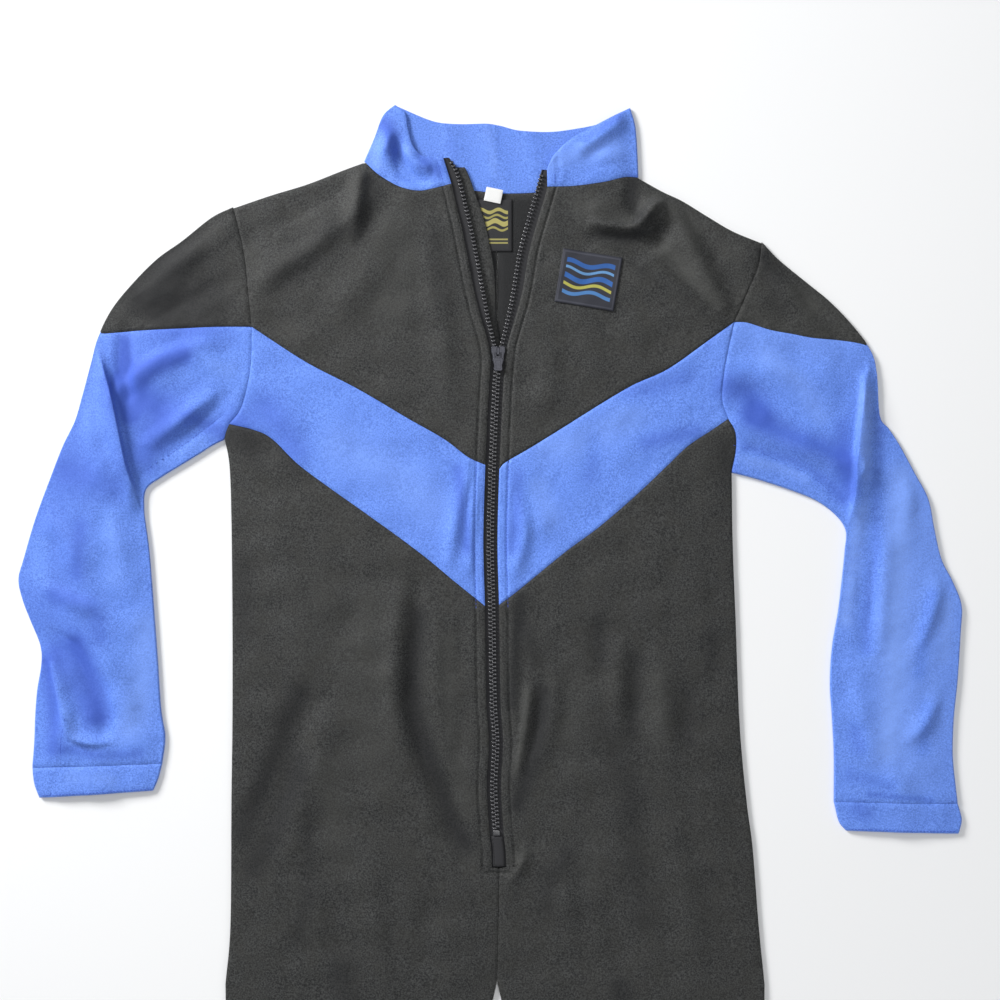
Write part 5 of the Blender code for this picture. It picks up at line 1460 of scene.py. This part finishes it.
def makeCollar():
    # one strip from the right front end round the back to the left front end
    skins = []
    cuts = []
    for side in sideSign:
        front, back = collarGrids(side)
        front = pullIn(front, (True, False, False, False))
        back = pullIn(back[:, ::-1], (True, False, False, False))
        skins.append(tubeSkins(front, back, (True, True, True, False)))
        cuts += [front, back]
    right, left = skins
    outer, inner = (np.concatenate([right[k], left[k][:, ::-1][:, 1:]], axis=1) for k in (0, 1))
    piece = skinsToPiece("collarCloth", outer, inner, len(outer))
    dressCloth(piece, "collar", "blueKnit")


for side in sideSign:
    makeBack(side)
    makeFront(side)
    makeChevron(side)
    makeYoke(side)
    makeCap(side)
    makeSleeve(side)
    makeCuff(side)
makeCollar()
print("stage: cloth panels laid")


def pillow(outline, centre, low, high, edge, crown=0.0, steps=4):
    # rings from the bottom's middle, round its rounded rim, to the top's middle
    outline = np.asarray(outline, float)
    centre = np.asarray(centre, float)
    reach = np.linalg.norm(outline - centre, axis=1).mean()
    angles = np.linspace(-np.pi / 2, np.pi / 2, 2 * steps + 1)
    inset = 1 - edge / reach * (1 - np.cos(angles))
    half = (high - low) / 2
    rim = (high + low) / 2 + (half - edge) * np.sign(np.sin(angles)) * (np.abs(angles) > 1e-6)
    heights = rim + edge * np.sin(angles)
    scales = np.concatenate([[0, 0.5], inset, [0.8 * inset[-1], 0.45, 0]])
    levels = np.concatenate([[low, low], heights, [high, high, high]])
    lifted = levels + crown * (levels > (low + high) / 2) * (1 - scales ** 2)
    spots = centre + (outline[None] - centre) * scales[:, None, None]
    points = np.dstack([spots, np.broadcast_to(lifted[:, None], spots.shape[:2])])
    return points.reshape(-1, 3), gridFaces(len(scales), len(outline), wrap=True)


def roundedOutline(corners, radius, steps=5):
    # each corner becomes an arc that touches its two sides
    corners = np.asarray(corners, float)
    before = unit(np.roll(corners, 1, axis=0) - corners)
    after = unit(np.roll(corners, -1, axis=0) - corners)
    t = np.linspace(0, 1, steps)[None, :, None]
    start = (corners + before * radius)[:, None]
    stop = (corners + after * radius)[:, None]
    bend = (1 - t) ** 2 * start + 2 * t * (1 - t) * corners[:, None] + t ** 2 * stop
    return bend.reshape(-1, 2)


def sweep(path, across, width, thickness, rounding=0.35, steps=3):
    # a rounded rectangle carried along a path; across is the direction of its width
    path = np.asarray(path, float)
    tangent = unit(np.gradient(path, axis=0))
    across = np.broadcast_to(np.asarray(across, float), path.shape)
    across = unit(across - (across * tangent).sum(axis=1, keepdims=True) * tangent)
    normal = np.cross(tangent, across)
    box = [(-width / 2, -thickness / 2), (width / 2, -thickness / 2),
           (width / 2, thickness / 2), (-width / 2, thickness / 2)]
    section = roundedOutline(box, rounding, steps)
    ring = (path[:, None] + section[None, :, :1] * across[:, None]
            + section[None, :, 1:] * normal[:, None])
    caps = [path[:1, None] + (ring[:1] - path[:1, None]) * s for s in (0, 0.7)]
    tails = [path[-1:, None] + (ring[-1:] - path[-1:, None]) * s for s in (0.7, 0)]
    rings = np.concatenate([*caps, ring, *tails], axis=0)
    return rings.reshape(-1, 3), gridFaces(len(rings), len(section), wrap=True)


def weldedPiece(name, shapes, uv=None):
    # several closed shapes in one mesh, their poles merged and their faces turned outwards
    starts = np.cumsum([0] + [len(points) for points, _ in shapes[:-1]])
    points = np.vstack([points for points, _ in shapes])
    faces = np.vstack([faces + start for (_, faces), start in zip(shapes, starts)])
    return closeSkin(makeMesh(name, points, faces, uv), 1e-6, 5e-7)


def placesAlong(path, at):
    # points and unit tangents at the given lengths along a path
    lengths = pathLengths(path)
    places, slopes = (np.stack([np.interp(at, lengths, values[:, k]) for k in (0, 1)], axis=1)
                      for values in (path, np.gradient(path, axis=0)))
    return places, unit(slopes)


def copiesAlong(shape, places, tangents, levels, flip=1):
    # one small shape set at many places: its x across the path, its y along it
    points, faces = shape
    rightward = np.column_stack([tangents[:, 1], -tangents[:, 0]]) * flip
    flat = (places[:, None] + points[None, :, :1] * rightward[:, None]
            + points[None, :, 1:2] * tangents[:, None])
    heights = levels[:, None] + points[None, :, 2]
    shift = np.arange(len(places))[:, None, None] * len(points)
    return (np.dstack([flat, heights]).reshape(-1, 3),
            (faces[None] + shift).reshape(-1, faces.shape[1]))


toothForm = {
    "across": (-1.95, -1.90, -1.6, -0.9, 0.1, 0.8, 1.3, 1.9, 2.35, 2.5, 2.55),
    "halfWidth": (0.0, 0.85, 1.12, 1.18, 1.05, 0.72, 0.80, 1.0, 0.80, 0.45, 0.0),
    "halfHeight": (0.0, 0.80, 1.15, 1.25, 1.25, 1.05, 1.05, 1.05, 0.85, 0.45, 0.0),
    "sides": 12,
    "corner": 0.45,  # power of the cross-section: smaller is squarer
    "first": {"right": 0.25, "left": 0.75},  # of the pitch, so that the rows mesh
}


def toothShape():
    # superellipse sections (cos and sin to a power) set along the tooth, from tape to head
    angles = np.linspace(0, 2 * np.pi, toothForm["sides"], endpoint=False) + np.pi / 12
    around, up = (np.sign(wave) * np.abs(wave) ** toothForm["corner"]
                  for wave in (np.cos(angles), np.sin(angles)))
    across, wide, tall = (np.array(toothForm[key])[:, None]
                          for key in ("across", "halfWidth", "halfHeight"))
    points = np.dstack([np.broadcast_to(across, (len(across), len(angles))),
                        wide * around, tall * up])
    return points.reshape(-1, 3), gridFaces(len(across), len(angles), wrap=True)


def makeTeeth(side):
    # teeth at an even pitch along the row
    y = np.linspace(zipSizes["teethEnd"], zipSizes["top"][side] - 3, 1400)
    path = np.column_stack([rowX(side, y), y])
    pitch = zipSizes["pitch"]
    at = np.arange(pitch * toothForm["first"][side], pathLengths(path)[-1] - 1, pitch)
    places, tangents = placesAlong(path, at)
    level = (zipSizes["teethBottom"] + zipSizes["teethTop"]) / 2
    shape = copiesAlong(toothShape(), places, tangents, np.full(len(at), level), -sideSign[side])
    piece = weldedPiece("zipTeeth" + side.capitalize(), [shape])
    dress(piece, "zip_teeth_" + side, "teethPlastic")


tape = {
    "bead": (-0.9, 0.30, 0.85),  # its middle across and above the tape's, its radius
    "flat": (0.2, 2, 4, 6.5, 9, 11),
    "thin": 12.6,  # its faces slope down from here
    "slope": 0.05,
    "edge": 13,
    "width": 14.8,  # the whole tape, laid flat
    "rows": 330,
}


def tapeSection():
    # outline of the tape's cut: a bead at the teeth, then flat, with a finer outer edge
    low = zipSizes["tapeBottom"]
    high = low + zipSizes["tapeWall"]
    middle = (low + high) / 2
    across, above, radius = tape["bead"]
    angles = np.radians(np.linspace(320, 40, 9))[::-1]
    bead = np.column_stack([across + radius * np.cos(angles), middle + above + radius * np.sin(angles)])
    upper = [(x, high) for x in tape["flat"]] + [(tape["thin"], high - tape["slope"])]
    lower = [(tape["thin"], low + tape["slope"])] + [(x, low) for x in tape["flat"][::-1]]
    return np.vstack([bead, upper, [(tape["edge"], middle)], lower])


def makeTape(side):
    # the section carried along the row, with two closing rings at each end
    section = tapeSection()
    y = np.linspace(zipSizes["end"] + 1, zipSizes["top"][side] - 1, tape["rows"])
    size = (len(y), len(section))
    ring = np.dstack([rowX(side, y)[:, None] + sideSign[side] * section[None, :, 0],
                      np.broadcast_to(y[:, None], size), np.broadcast_to(section[:, 1], size)])
    middle = ring.mean(axis=1, keepdims=True)
    shrink = np.array([0, 0.6])[:, None, None]
    rings = np.concatenate([middle[:1] + (ring[:1] - middle[:1]) * shrink, ring,
                            middle[-1:] + (ring[-1:] - middle[-1:]) * shrink[::-1]])
    across = np.broadcast_to(section[:, 0], rings.shape[:2])
    uv = np.dstack([across, rings[..., 1]]).reshape(-1, 2)
    shape = (rings.reshape(-1, 3), gridFaces(len(rings), len(section), wrap=True))
    piece = weldedPiece("zipTape" + side.capitalize(), [shape], uv=uv)
    dress(piece, "zip_tape_" + side, "tapeCloth")


def levelRows(across, y):
    # a grid of rows at the heights y
    return np.dstack([across, np.broadcast_to(y[:, None], across.shape)])


# each pair of heights is where a change begins and where it is full
guard = {
    "above": 30,  # it starts this far above the tape's lower end
    "top": 750,
    "rows": 220,
    "outer": 12,  # from the right tooth row, under the right front
    "inner": 7,  # from the row, or from the chain's middle below the slider
    "opens": 575,
    "wider": (9, 575, 660),  # more width at the neck
    "narrower": (5, 690, 750),  # and less again at the top
    "lift": (1.3, 600, 650),
    "wave": (0.28, 17, 41, 590, 650),  # height, two lengths, from, to
    "wall": 1,
    "dip": 0.45,
}


def makeGuard():
    # a strip beside the right tooth row; its free edge lifts in the product of two sines
    y = np.linspace(zipSizes["end"] + guard["above"], guard["top"], guard["rows"])
    row = rowX("right", y)
    (more, *widerAt), (less, *narrowerAt), (lift, *liftAt) = (
        guard[key] for key in ("wider", "narrower", "lift"))
    reach = guard["inner"] + more * ease(*widerAt, y) - less * ease(*narrowerAt, y)
    chain = tableX(chainLine, np.minimum(y, zipSizes["join"]))
    inner = np.where(y > guard["opens"], row + reach, chain + guard["inner"])
    u = np.concatenate([[0, 0.03], np.linspace(0.1, 0.9, 9), [0.97, 1]])
    across = (row - guard["outer"])[:, None] * (1 - u) + inner[:, None] * u
    grid = levelRows(across, y)
    height, short, long, *waveAt = guard["wave"]
    wave = height * np.sin(y / short) * ease(*waveAt, y) * np.sin(y / long)
    under = layers["wall"] + layers["gap"] + lift * ease(*liftAt, y)
    under = under[:, None] + np.maximum(wave, 0)[:, None] * u ** 2
    piece = clothShell("zipGuard", grid, under, guard["wall"], guard["dip"], (True, True, False, True))
    dressCloth(piece, "zip_guard", "blackKnit")


# heights are bottom and top
slider = {
    "x": 8.1, "top": 571, "length": 16,
    "halfTop": 7, "halfEnd": 5.6,
    "lower": (3.3, 4.2), "upper": (7.9, 9),
    "walls": (5.75, 8.25), "wallWidth": 0.9,
    "wallHalf": (6.85, 6.85, 5.55, 5.45),  # half widths down its outside
    "wedge": (3.9, 8.2),
    "bridgeHalf": 1.4, "bridgeLength": 8.55, "crown": 11.5, "bar": 1.2,
}


def mirrored(x, top, half):
    # one side's corners, measured from x and top, then their mirror images in reverse order
    return ([(x + across, top + along) for across, along in half]
            + [(x - across, top + along) for across, along in half[::-1]])


def sliderOutline(grow=0.0):
    # a rounded shield: wide at the top, narrower where the closed chain leaves it
    length = slider["length"]
    wide = slider["halfTop"] + grow
    narrow = slider["halfEnd"] + grow
    half = [(-narrow, -length), (-narrow - 0.1, -length * 0.62), (-wide, -length * 0.38),
            (-wide, -1.4), (-wide + 1.8, 0), (-1.6, -0.9)]
    return roundedOutline(mirrored(slider["x"], slider["top"], half), 0.8, 4)


def makeSlider():
    # two plates, two side walls and the wedge between the rows, with the bridge over them
    x, top, length = slider["x"], slider["top"], slider["length"]
    middle = (x, top - length / 2)
    shapes = [pillow(sliderOutline(), middle, *slider["upper"], 0.42),
              pillow(sliderOutline(-0.1), middle, *slider["lower"], 0.35)]
    levels = (top - 1.6, top - length * 0.40, top - length * 0.64, top - length + 0.3)
    outside = list(zip(slider["wallHalf"], levels))
    inside = [(half - slider["wallWidth"], level) for half, level in outside[::-1]]
    for sign in (-1, 1):
        outline = [(x + sign * half, level) for half, level in outside + inside]
        shapes.append(pillow(roundedOutline(outline, 0.3, 3), np.mean(outline, axis=0),
                             *slider["walls"], 0.2, steps=2))
    wedge = [(x, top - 5.6), (x + 1.25, top - 3.4), (x + 1.1, top - 1.6), (x - 1.1, top - 1.6),
             (x - 1.25, top - 3.4)]
    wedge = roundedOutline(wedge, 0.35, 3)
    shapes.append(pillow(wedge, (x, top - 3.2), *slider["wedge"], 0.2, steps=2))
    crown = slider["crown"] + slider["bar"] / 2
    base = slider["upper"][1] - 0.25
    head = top - 1.35
    foot = head - slider["bridgeLength"]
    arch = densePath([(head, base), (head, crown - 1.3), (head - 0.75, crown - 0.2),
                      (head - 2.25, crown), (foot + 2.3, crown), (foot + 0.75, crown - 0.2),
                      (foot, crown - 1.3), (foot, base)], 6)
    path = np.column_stack([np.full(len(arch), x), arch])
    shapes.append(sweep(path, (1, 0, 0), 2 * slider["bridgeHalf"], slider["bar"], 0.42))
    dress(weldedPiece("zipSlider", shapes), "zip_slider", "sliderMetal")


# half widths across, and places along from the plate's upper end
pullTab = {
    "pivot": (563.5, 10.15),  # along the zip, and up
    "fromPivot": 5,
    "length": 13,
    "wall": 1.6,
    "edge": [(4, 0.2), (4.95, -1.2), (4.75, -4.5), (3.95, -7.2), (4.2, -9.5), (4.4, -11.4),
             (3.2, -12.8)],
    "raised": [(2.6, -2.2), (2.6, -5.4), (2.2, -10.8)],
    "raisedHeight": 0.22,
    "arm": [(2.9, -0.8), (2.85, 1.6), (2.8, 4.3), (2.75, 5.55)],
    "rodHalf": 3.2,
    "rodWidth": 1.3,
}


def makePull():
    # a waisted plate with a raised field, two arms, and the rod that turns in the bridge
    x = slider["x"]
    y, z = pullTab["pivot"]
    start = y - pullTab["fromPivot"]
    middle = (x, start - pullTab["length"] / 2)
    low, high = z - pullTab["wall"] / 2, z + pullTab["wall"] / 2
    plate = roundedOutline(mirrored(x, start, pullTab["edge"]), 0.55, 4)
    field = roundedOutline(mirrored(x, start, pullTab["raised"]), 0.5, 3)
    shapes = [pillow(plate, middle, low, high, 0.38),
              pillow(field, middle, high - 0.5, high + pullTab["raisedHeight"], 0.16)]
    for sign in (-1, 1):
        arm = densePath([(x + sign * across, start + along) for across, along in pullTab["arm"]], 5)
        path = np.column_stack([arm, np.full(len(arm), z)])
        shapes.append(sweep(path, (1, 0, 0), 1.5, pullTab["wall"] - 0.1, 0.4))
    along = np.linspace(x - pullTab["rodHalf"], x + pullTab["rodHalf"], 8)
    rod = np.column_stack([along, np.full(8, y), np.full(8, z)])
    shapes.append(sweep(rod, (0, 1, 0), pullTab["rodWidth"], pullTab["rodWidth"], 0.6, 5))
    dress(weldedPiece("zipPull", shapes), "zip_pull", "sliderMetal", "pull_tab")


zipFoot = {
    "stop": [(-3.6, -6.3), (3.6, -6.3), (3.6, -1.6), (1.6, -0.5), (-1.6, -0.5), (-3.6, -1.6)],
    "stopBottom": 5.1,
    "patchHalf": 5.9,
    "patchEnds": (1.5, -7),  # from the tape's end, from the teeth's end
    "patchLift": 0.6,  # over the bottom of the teeth
    "patchWall": 0.9,
    "patchCrown": 0.35,
    "patchDip": 0.4,
}


def makeZipStop():
    end = zipSizes["teethEnd"]
    middle = float(tableX(chainLine, end - 3))
    corners = [(middle + across, end + along) for across, along in zipFoot["stop"]]
    block = pillow(roundedOutline(corners, 0.9, 4), (middle, end - 3.5), zipFoot["stopBottom"],
                   zipSizes["teethTop"], 0.5, 0.1)
    dress(weldedPiece("zipStop", [block]), "zip_stop", "teethPlastic")


def makeEndPatch():
    # a strip over both tapes, crowned across as a parabola
    first, last = zipFoot["patchEnds"]
    y = np.linspace(zipSizes["end"] + first, zipSizes["teethEnd"] + last, 28)
    u = np.linspace(-1, 1, 15)
    across = tableX(chainLine, y)[:, None] + zipFoot["patchHalf"] * u
    grid = levelRows(across, y)
    under = np.full(across.shape, zipSizes["teethBottom"] + zipFoot["patchLift"])
    wall = zipFoot["patchWall"] + zipFoot["patchCrown"] * (1 - u ** 2)[None]
    piece = clothShell("zipEndPatch", grid, under, wall, zipFoot["patchDip"])
    dressCloth(piece, "zip_end_patch", "tapeCloth")


labels = {
    "chest_patch": {"name": "chestPatch", "finish": "patchCloth", "centre": (98.3, 636.8),
                    "size": (60, 54), "turn": -9.5, "wall": 0.9, "dip": 0.35,
                    "on": ["yoke_left"]},
    "neck_label": {"name": "neckLabel", "finish": "labelCloth", "centre": (4, 692),
                   "size": (36, 52), "turn": 0, "wall": 0.9, "dip": 0.35,
                   "on": ["back_right", "back_left"]},
    "size_tab": {"name": "sizeTab", "finish": "tabCloth", "centre": (3.5, 722),
                 "size": (17, 14), "turn": -12, "wall": 0.8, "dip": 0.25,
                 "on": ["neck_label"]},
}
labelLift = {
    "patch": 0.25,  # over the cloth
    "corner": 0.5,  # its lower corner towards the sleeve stands up a little more
    "cornerFrom": (20, 36),  # from the patch's middle
    "cornerSide": (-30, 34),
    "tab": 1.3,  # over the label's bottom
    "tabSide": (0.25, -7, 7),
}


def turnedGrid(node, count=45):
    # an even grid turned about its centre, and its own two coordinates
    look = labels[node]
    across, along = np.meshgrid(*(np.linspace(-0.5, 0.5, count) * size for size in look["size"]))
    angle = math.radians(look["turn"])
    x = look["centre"][0] + across * math.cos(angle) - along * math.sin(angle)
    y = look["centre"][1] + across * math.sin(angle) + along * math.cos(angle)
    return np.dstack([x, y]), across, along


def makeLabel(node, grid, under):
    look = labels[node]
    piece = clothShell(look["name"], grid, under, look["wall"], look["dip"])
    dress(piece, node, look["finish"])


def makeLabels():
    floor = layers["wall"] + layers["gap"]
    grid, across, along = turnedGrid("chest_patch")
    corner = (ease(*labelLift["cornerFrom"], np.hypot(across, along))
              * ease(*labelLift["cornerSide"], across - along))
    under = upperHeight(grid)[0] + layers["wall"] + labelLift["patch"] + labelLift["corner"] * corner
    makeLabel("chest_patch", grid, under)
    grid = turnedGrid("neck_label")[0]
    makeLabel("neck_label", grid, np.full(grid.shape[:2], floor))
    grid, across, along = turnedGrid("size_tab")
    rise, *sides = labelLift["tabSide"]
    makeLabel("size_tab", grid, floor + labelLift["tab"] + rise * ease(*sides, across))


stitchLook = {
    "length": 2.5, "gap": 0.9, "radius": 0.24, "sides": 6,
    "dive": 0.22,  # how far its two ends go down into the cloth
    "lift": 0.12,  # its middle over the cloth
    "fromEdge": 9,  # the zip's rows from the cloth's edge
    "collarFromEdge": 7.5,
    "hem": 0.93,  # share of the way down a cuff
    "patchHalf": 4.6,  # rows round the end of the tapes
    "patchLift": (1.55, 1.62),  # side rows and bars, over the bottom of the teeth
}


def stitchShape():
    # a short rounded thread, lower at its two ends, where it dives into the cloth
    t = np.linspace(-1, 1, 7)
    along = t * stitchLook["length"] / 2
    radius = stitchLook["radius"] * np.sqrt(np.clip(1 - np.abs(t) ** 4, 0, 1))
    angles = np.linspace(0, 2 * np.pi, stitchLook["sides"], endpoint=False)
    across = radius[:, None] * np.cos(angles)
    up = radius[:, None] * np.sin(angles) - stitchLook["dive"] * t[:, None] ** 2
    points = np.dstack([across, np.broadcast_to(along[:, None], across.shape), up])
    return points.reshape(-1, 3), gridFaces(len(t), len(angles), wrap=True)


def stitchRow(path, level=None):
    # threads at an even pitch along a path, on the upper cloth or at a level of their own
    path = np.asarray(path, float)
    pitch = stitchLook["length"] + stitchLook["gap"]
    at = np.arange(pitch / 2, pathLengths(path)[-1] - pitch / 4, pitch)
    places, tangents = placesAlong(path, at)
    if level is None:
        heights = upperHeight(places[:, None])[0][:, 0] + layers["wall"]
    else:
        heights = np.full(len(at), level)
    return copiesAlong(stitchShape(), places, tangents, heights + stitchLook["lift"])


def sideRows(side):
    # black rows and blue rows beside the zip, on the collar's end and round the cuff
    table = outlines[side]
    sign = sideSign[side]
    y = np.linspace(zipSizes["end"] + 2, table["zipNeck"] - 4, 900)
    line = np.column_stack([edgeX(side, y) + sign * stitchLook["fromEdge"], y])
    low = table["zipChevronLow"] - 3
    high = table["zipChevronTop"] + 5
    path = paths[side]
    hem = np.vstack([alongPath(path[edge], [stitchLook["hem"]]) for edge in ("cuffOut", "cuffIn")])
    hem = alongPath(hem, np.linspace(0.02, 0.98, 60))
    (lowX, lowY), (topX, topY) = path["neck"][0], path["collarTop"][0]
    collarY = np.linspace(table["zipNeck"] + 3, topY - 3, 40)
    collarX = lowX + (collarY - lowY) / (topY - lowY) * (topX - lowX)
    collarLine = np.column_stack([collarX + sign * stitchLook["collarFromEdge"], collarY])
    black = (line[y <= low], line[y >= high])
    blue = (line[(y > low) & (y < high)], hem, collarLine)
    return [[stitchRow(row) for row in rows] for rows in (black, blue)]


def footRows():
    # the row that turns below the zip, then the rows and bars round the end of the tapes
    level = zipSizes["stitchEnd"]
    right, left = (float(edgeX(side, level)) + sideSign[side] * stitchLook["fromEdge"]
                   for side in sideSign)
    rows = [stitchRow(np.column_stack([np.linspace(right + 1, left - 1, 60), np.full(60, level)]))]
    low = zipSizes["end"] + 3.0
    high = zipSizes["teethEnd"] - 9.5
    half = stitchLook["patchHalf"]
    sideLevel, barLevel = (zipSizes["teethBottom"] + lift for lift in stitchLook["patchLift"])
    y = np.linspace(low, high, 60)
    for offset in (-half, half):
        rows.append(stitchRow(np.column_stack([tableX(chainLine, y) + offset, y]), sideLevel))
    for height in (low, high):
        x = float(tableX(chainLine, height))
        bar = np.column_stack([np.linspace(x - half, x + half, 20), np.full(20, height)])
        rows.append(stitchRow(bar, barLevel))
    return rows


def makeStitches():
    black, blue = (sum(rows, []) for rows in zip(*(sideRows(side) for side in sideSign)))
    blue += [stitchRow(densePath(points, 20)) for points in sleeveSeams]
    black += footRows()
    dress(weldedPiece("stitchesBlack", black), None, "blackThread")
    dress(weldedPiece("stitchesBlue", blue), None, "blueThread")


for side in sideSign:
    makeTape(side)
    makeTeeth(side)
makeGuard()
makeSlider()
makePull()
makeZipStop()
makeEndPatch()
makeLabels()
makeStitches()
print("stage: zip, labels and stitches made")


# metres from here on; the photo's middle and width are in the frame's own X and Y
studio = {
    "floorSide": 3.6,
    "floorDrop": 0.0002,  # keeps it clear of the cloth's underside
    "floorColour": (0.86, 0.865, 0.87),
    "floorRough": 0.9,
    "worldColour": (0.95, 0.97, 1),
    "worldStrength": 0.24,
    "cameraHeight": 1.5,
    "photoCentre": (0.010, 0.417),
    "photoWidth": 1,
    "clothLevel": 0.005,  # the photo's width is true at this height
}
lights = {
    "keyLight": {"place": (-2.5, 2.5, 1.5), "aim": (0, 0.35, 0), "size": 1.1, "watts": 190},
    "topLight": {"place": (0.1, 0.5, 2.3), "aim": (0, 0.3, 0), "size": 1.6, "watts": 17},
    "lowLight": {"place": (0.9, -1.5, 0.9), "aim": (0, 0.2, 0), "size": 1, "watts": 6},
}


def makeFloor():
    corners = np.array([(-1, -1), (1, -1), (1, 1), (-1, 1)]) * studio["floorSide"] / 2
    points = np.column_stack([corners, np.full(4, -studio["floorDrop"])]) / mm
    floor = makeMesh("floor", points, np.array([[0, 1, 2, 3]]))
    material, tree = startMaterial("paleFloor")
    setSurface(tree, {"Base Color": studio["floorColour"], "Roughness": studio["floorRough"]})
    floor.data.materials.append(material)


def makeLight(name):
    look = lights[name]
    data = bpy.data.lights.new(name, "AREA")
    data.shape = "SQUARE"
    data.size = look["size"]
    data.energy = look["watts"]
    lamp = placed(name, data)
    lamp.location = look["place"]
    direction = Vector(look["aim"]) - Vector(look["place"])
    lamp.rotation_euler = direction.to_track_quat("-Z", "Y").to_euler()


def makeWorld():
    world = bpy.data.worlds.new("studioWorld")
    world.use_nodes = True
    feed(world.node_tree, world.node_tree.nodes["Background"],
         {0: studio["worldColour"], 1: studio["worldStrength"]})
    bpy.context.scene.world = world


def makeCamera():
    # straight down; half the photo's width over the height gives the tangent of half the angle
    data = bpy.data.cameras.new("camera")
    height = studio["cameraHeight"]
    data.sensor_fit = "HORIZONTAL"
    data.angle = 2 * math.atan(studio["photoWidth"] / 2 / (height - studio["clothLevel"]))
    camera = placed("camera", data)
    camera.location = (*studio["photoCentre"], height)
    bpy.context.scene.camera = camera
    bpy.context.scene.view_settings.view_transform = "Standard"


makeFloor()
for name in lights:
    makeLight(name)
makeWorld()
makeCamera()
print("stage: floor, light and camera set")

bpy.context.view_layer.update()
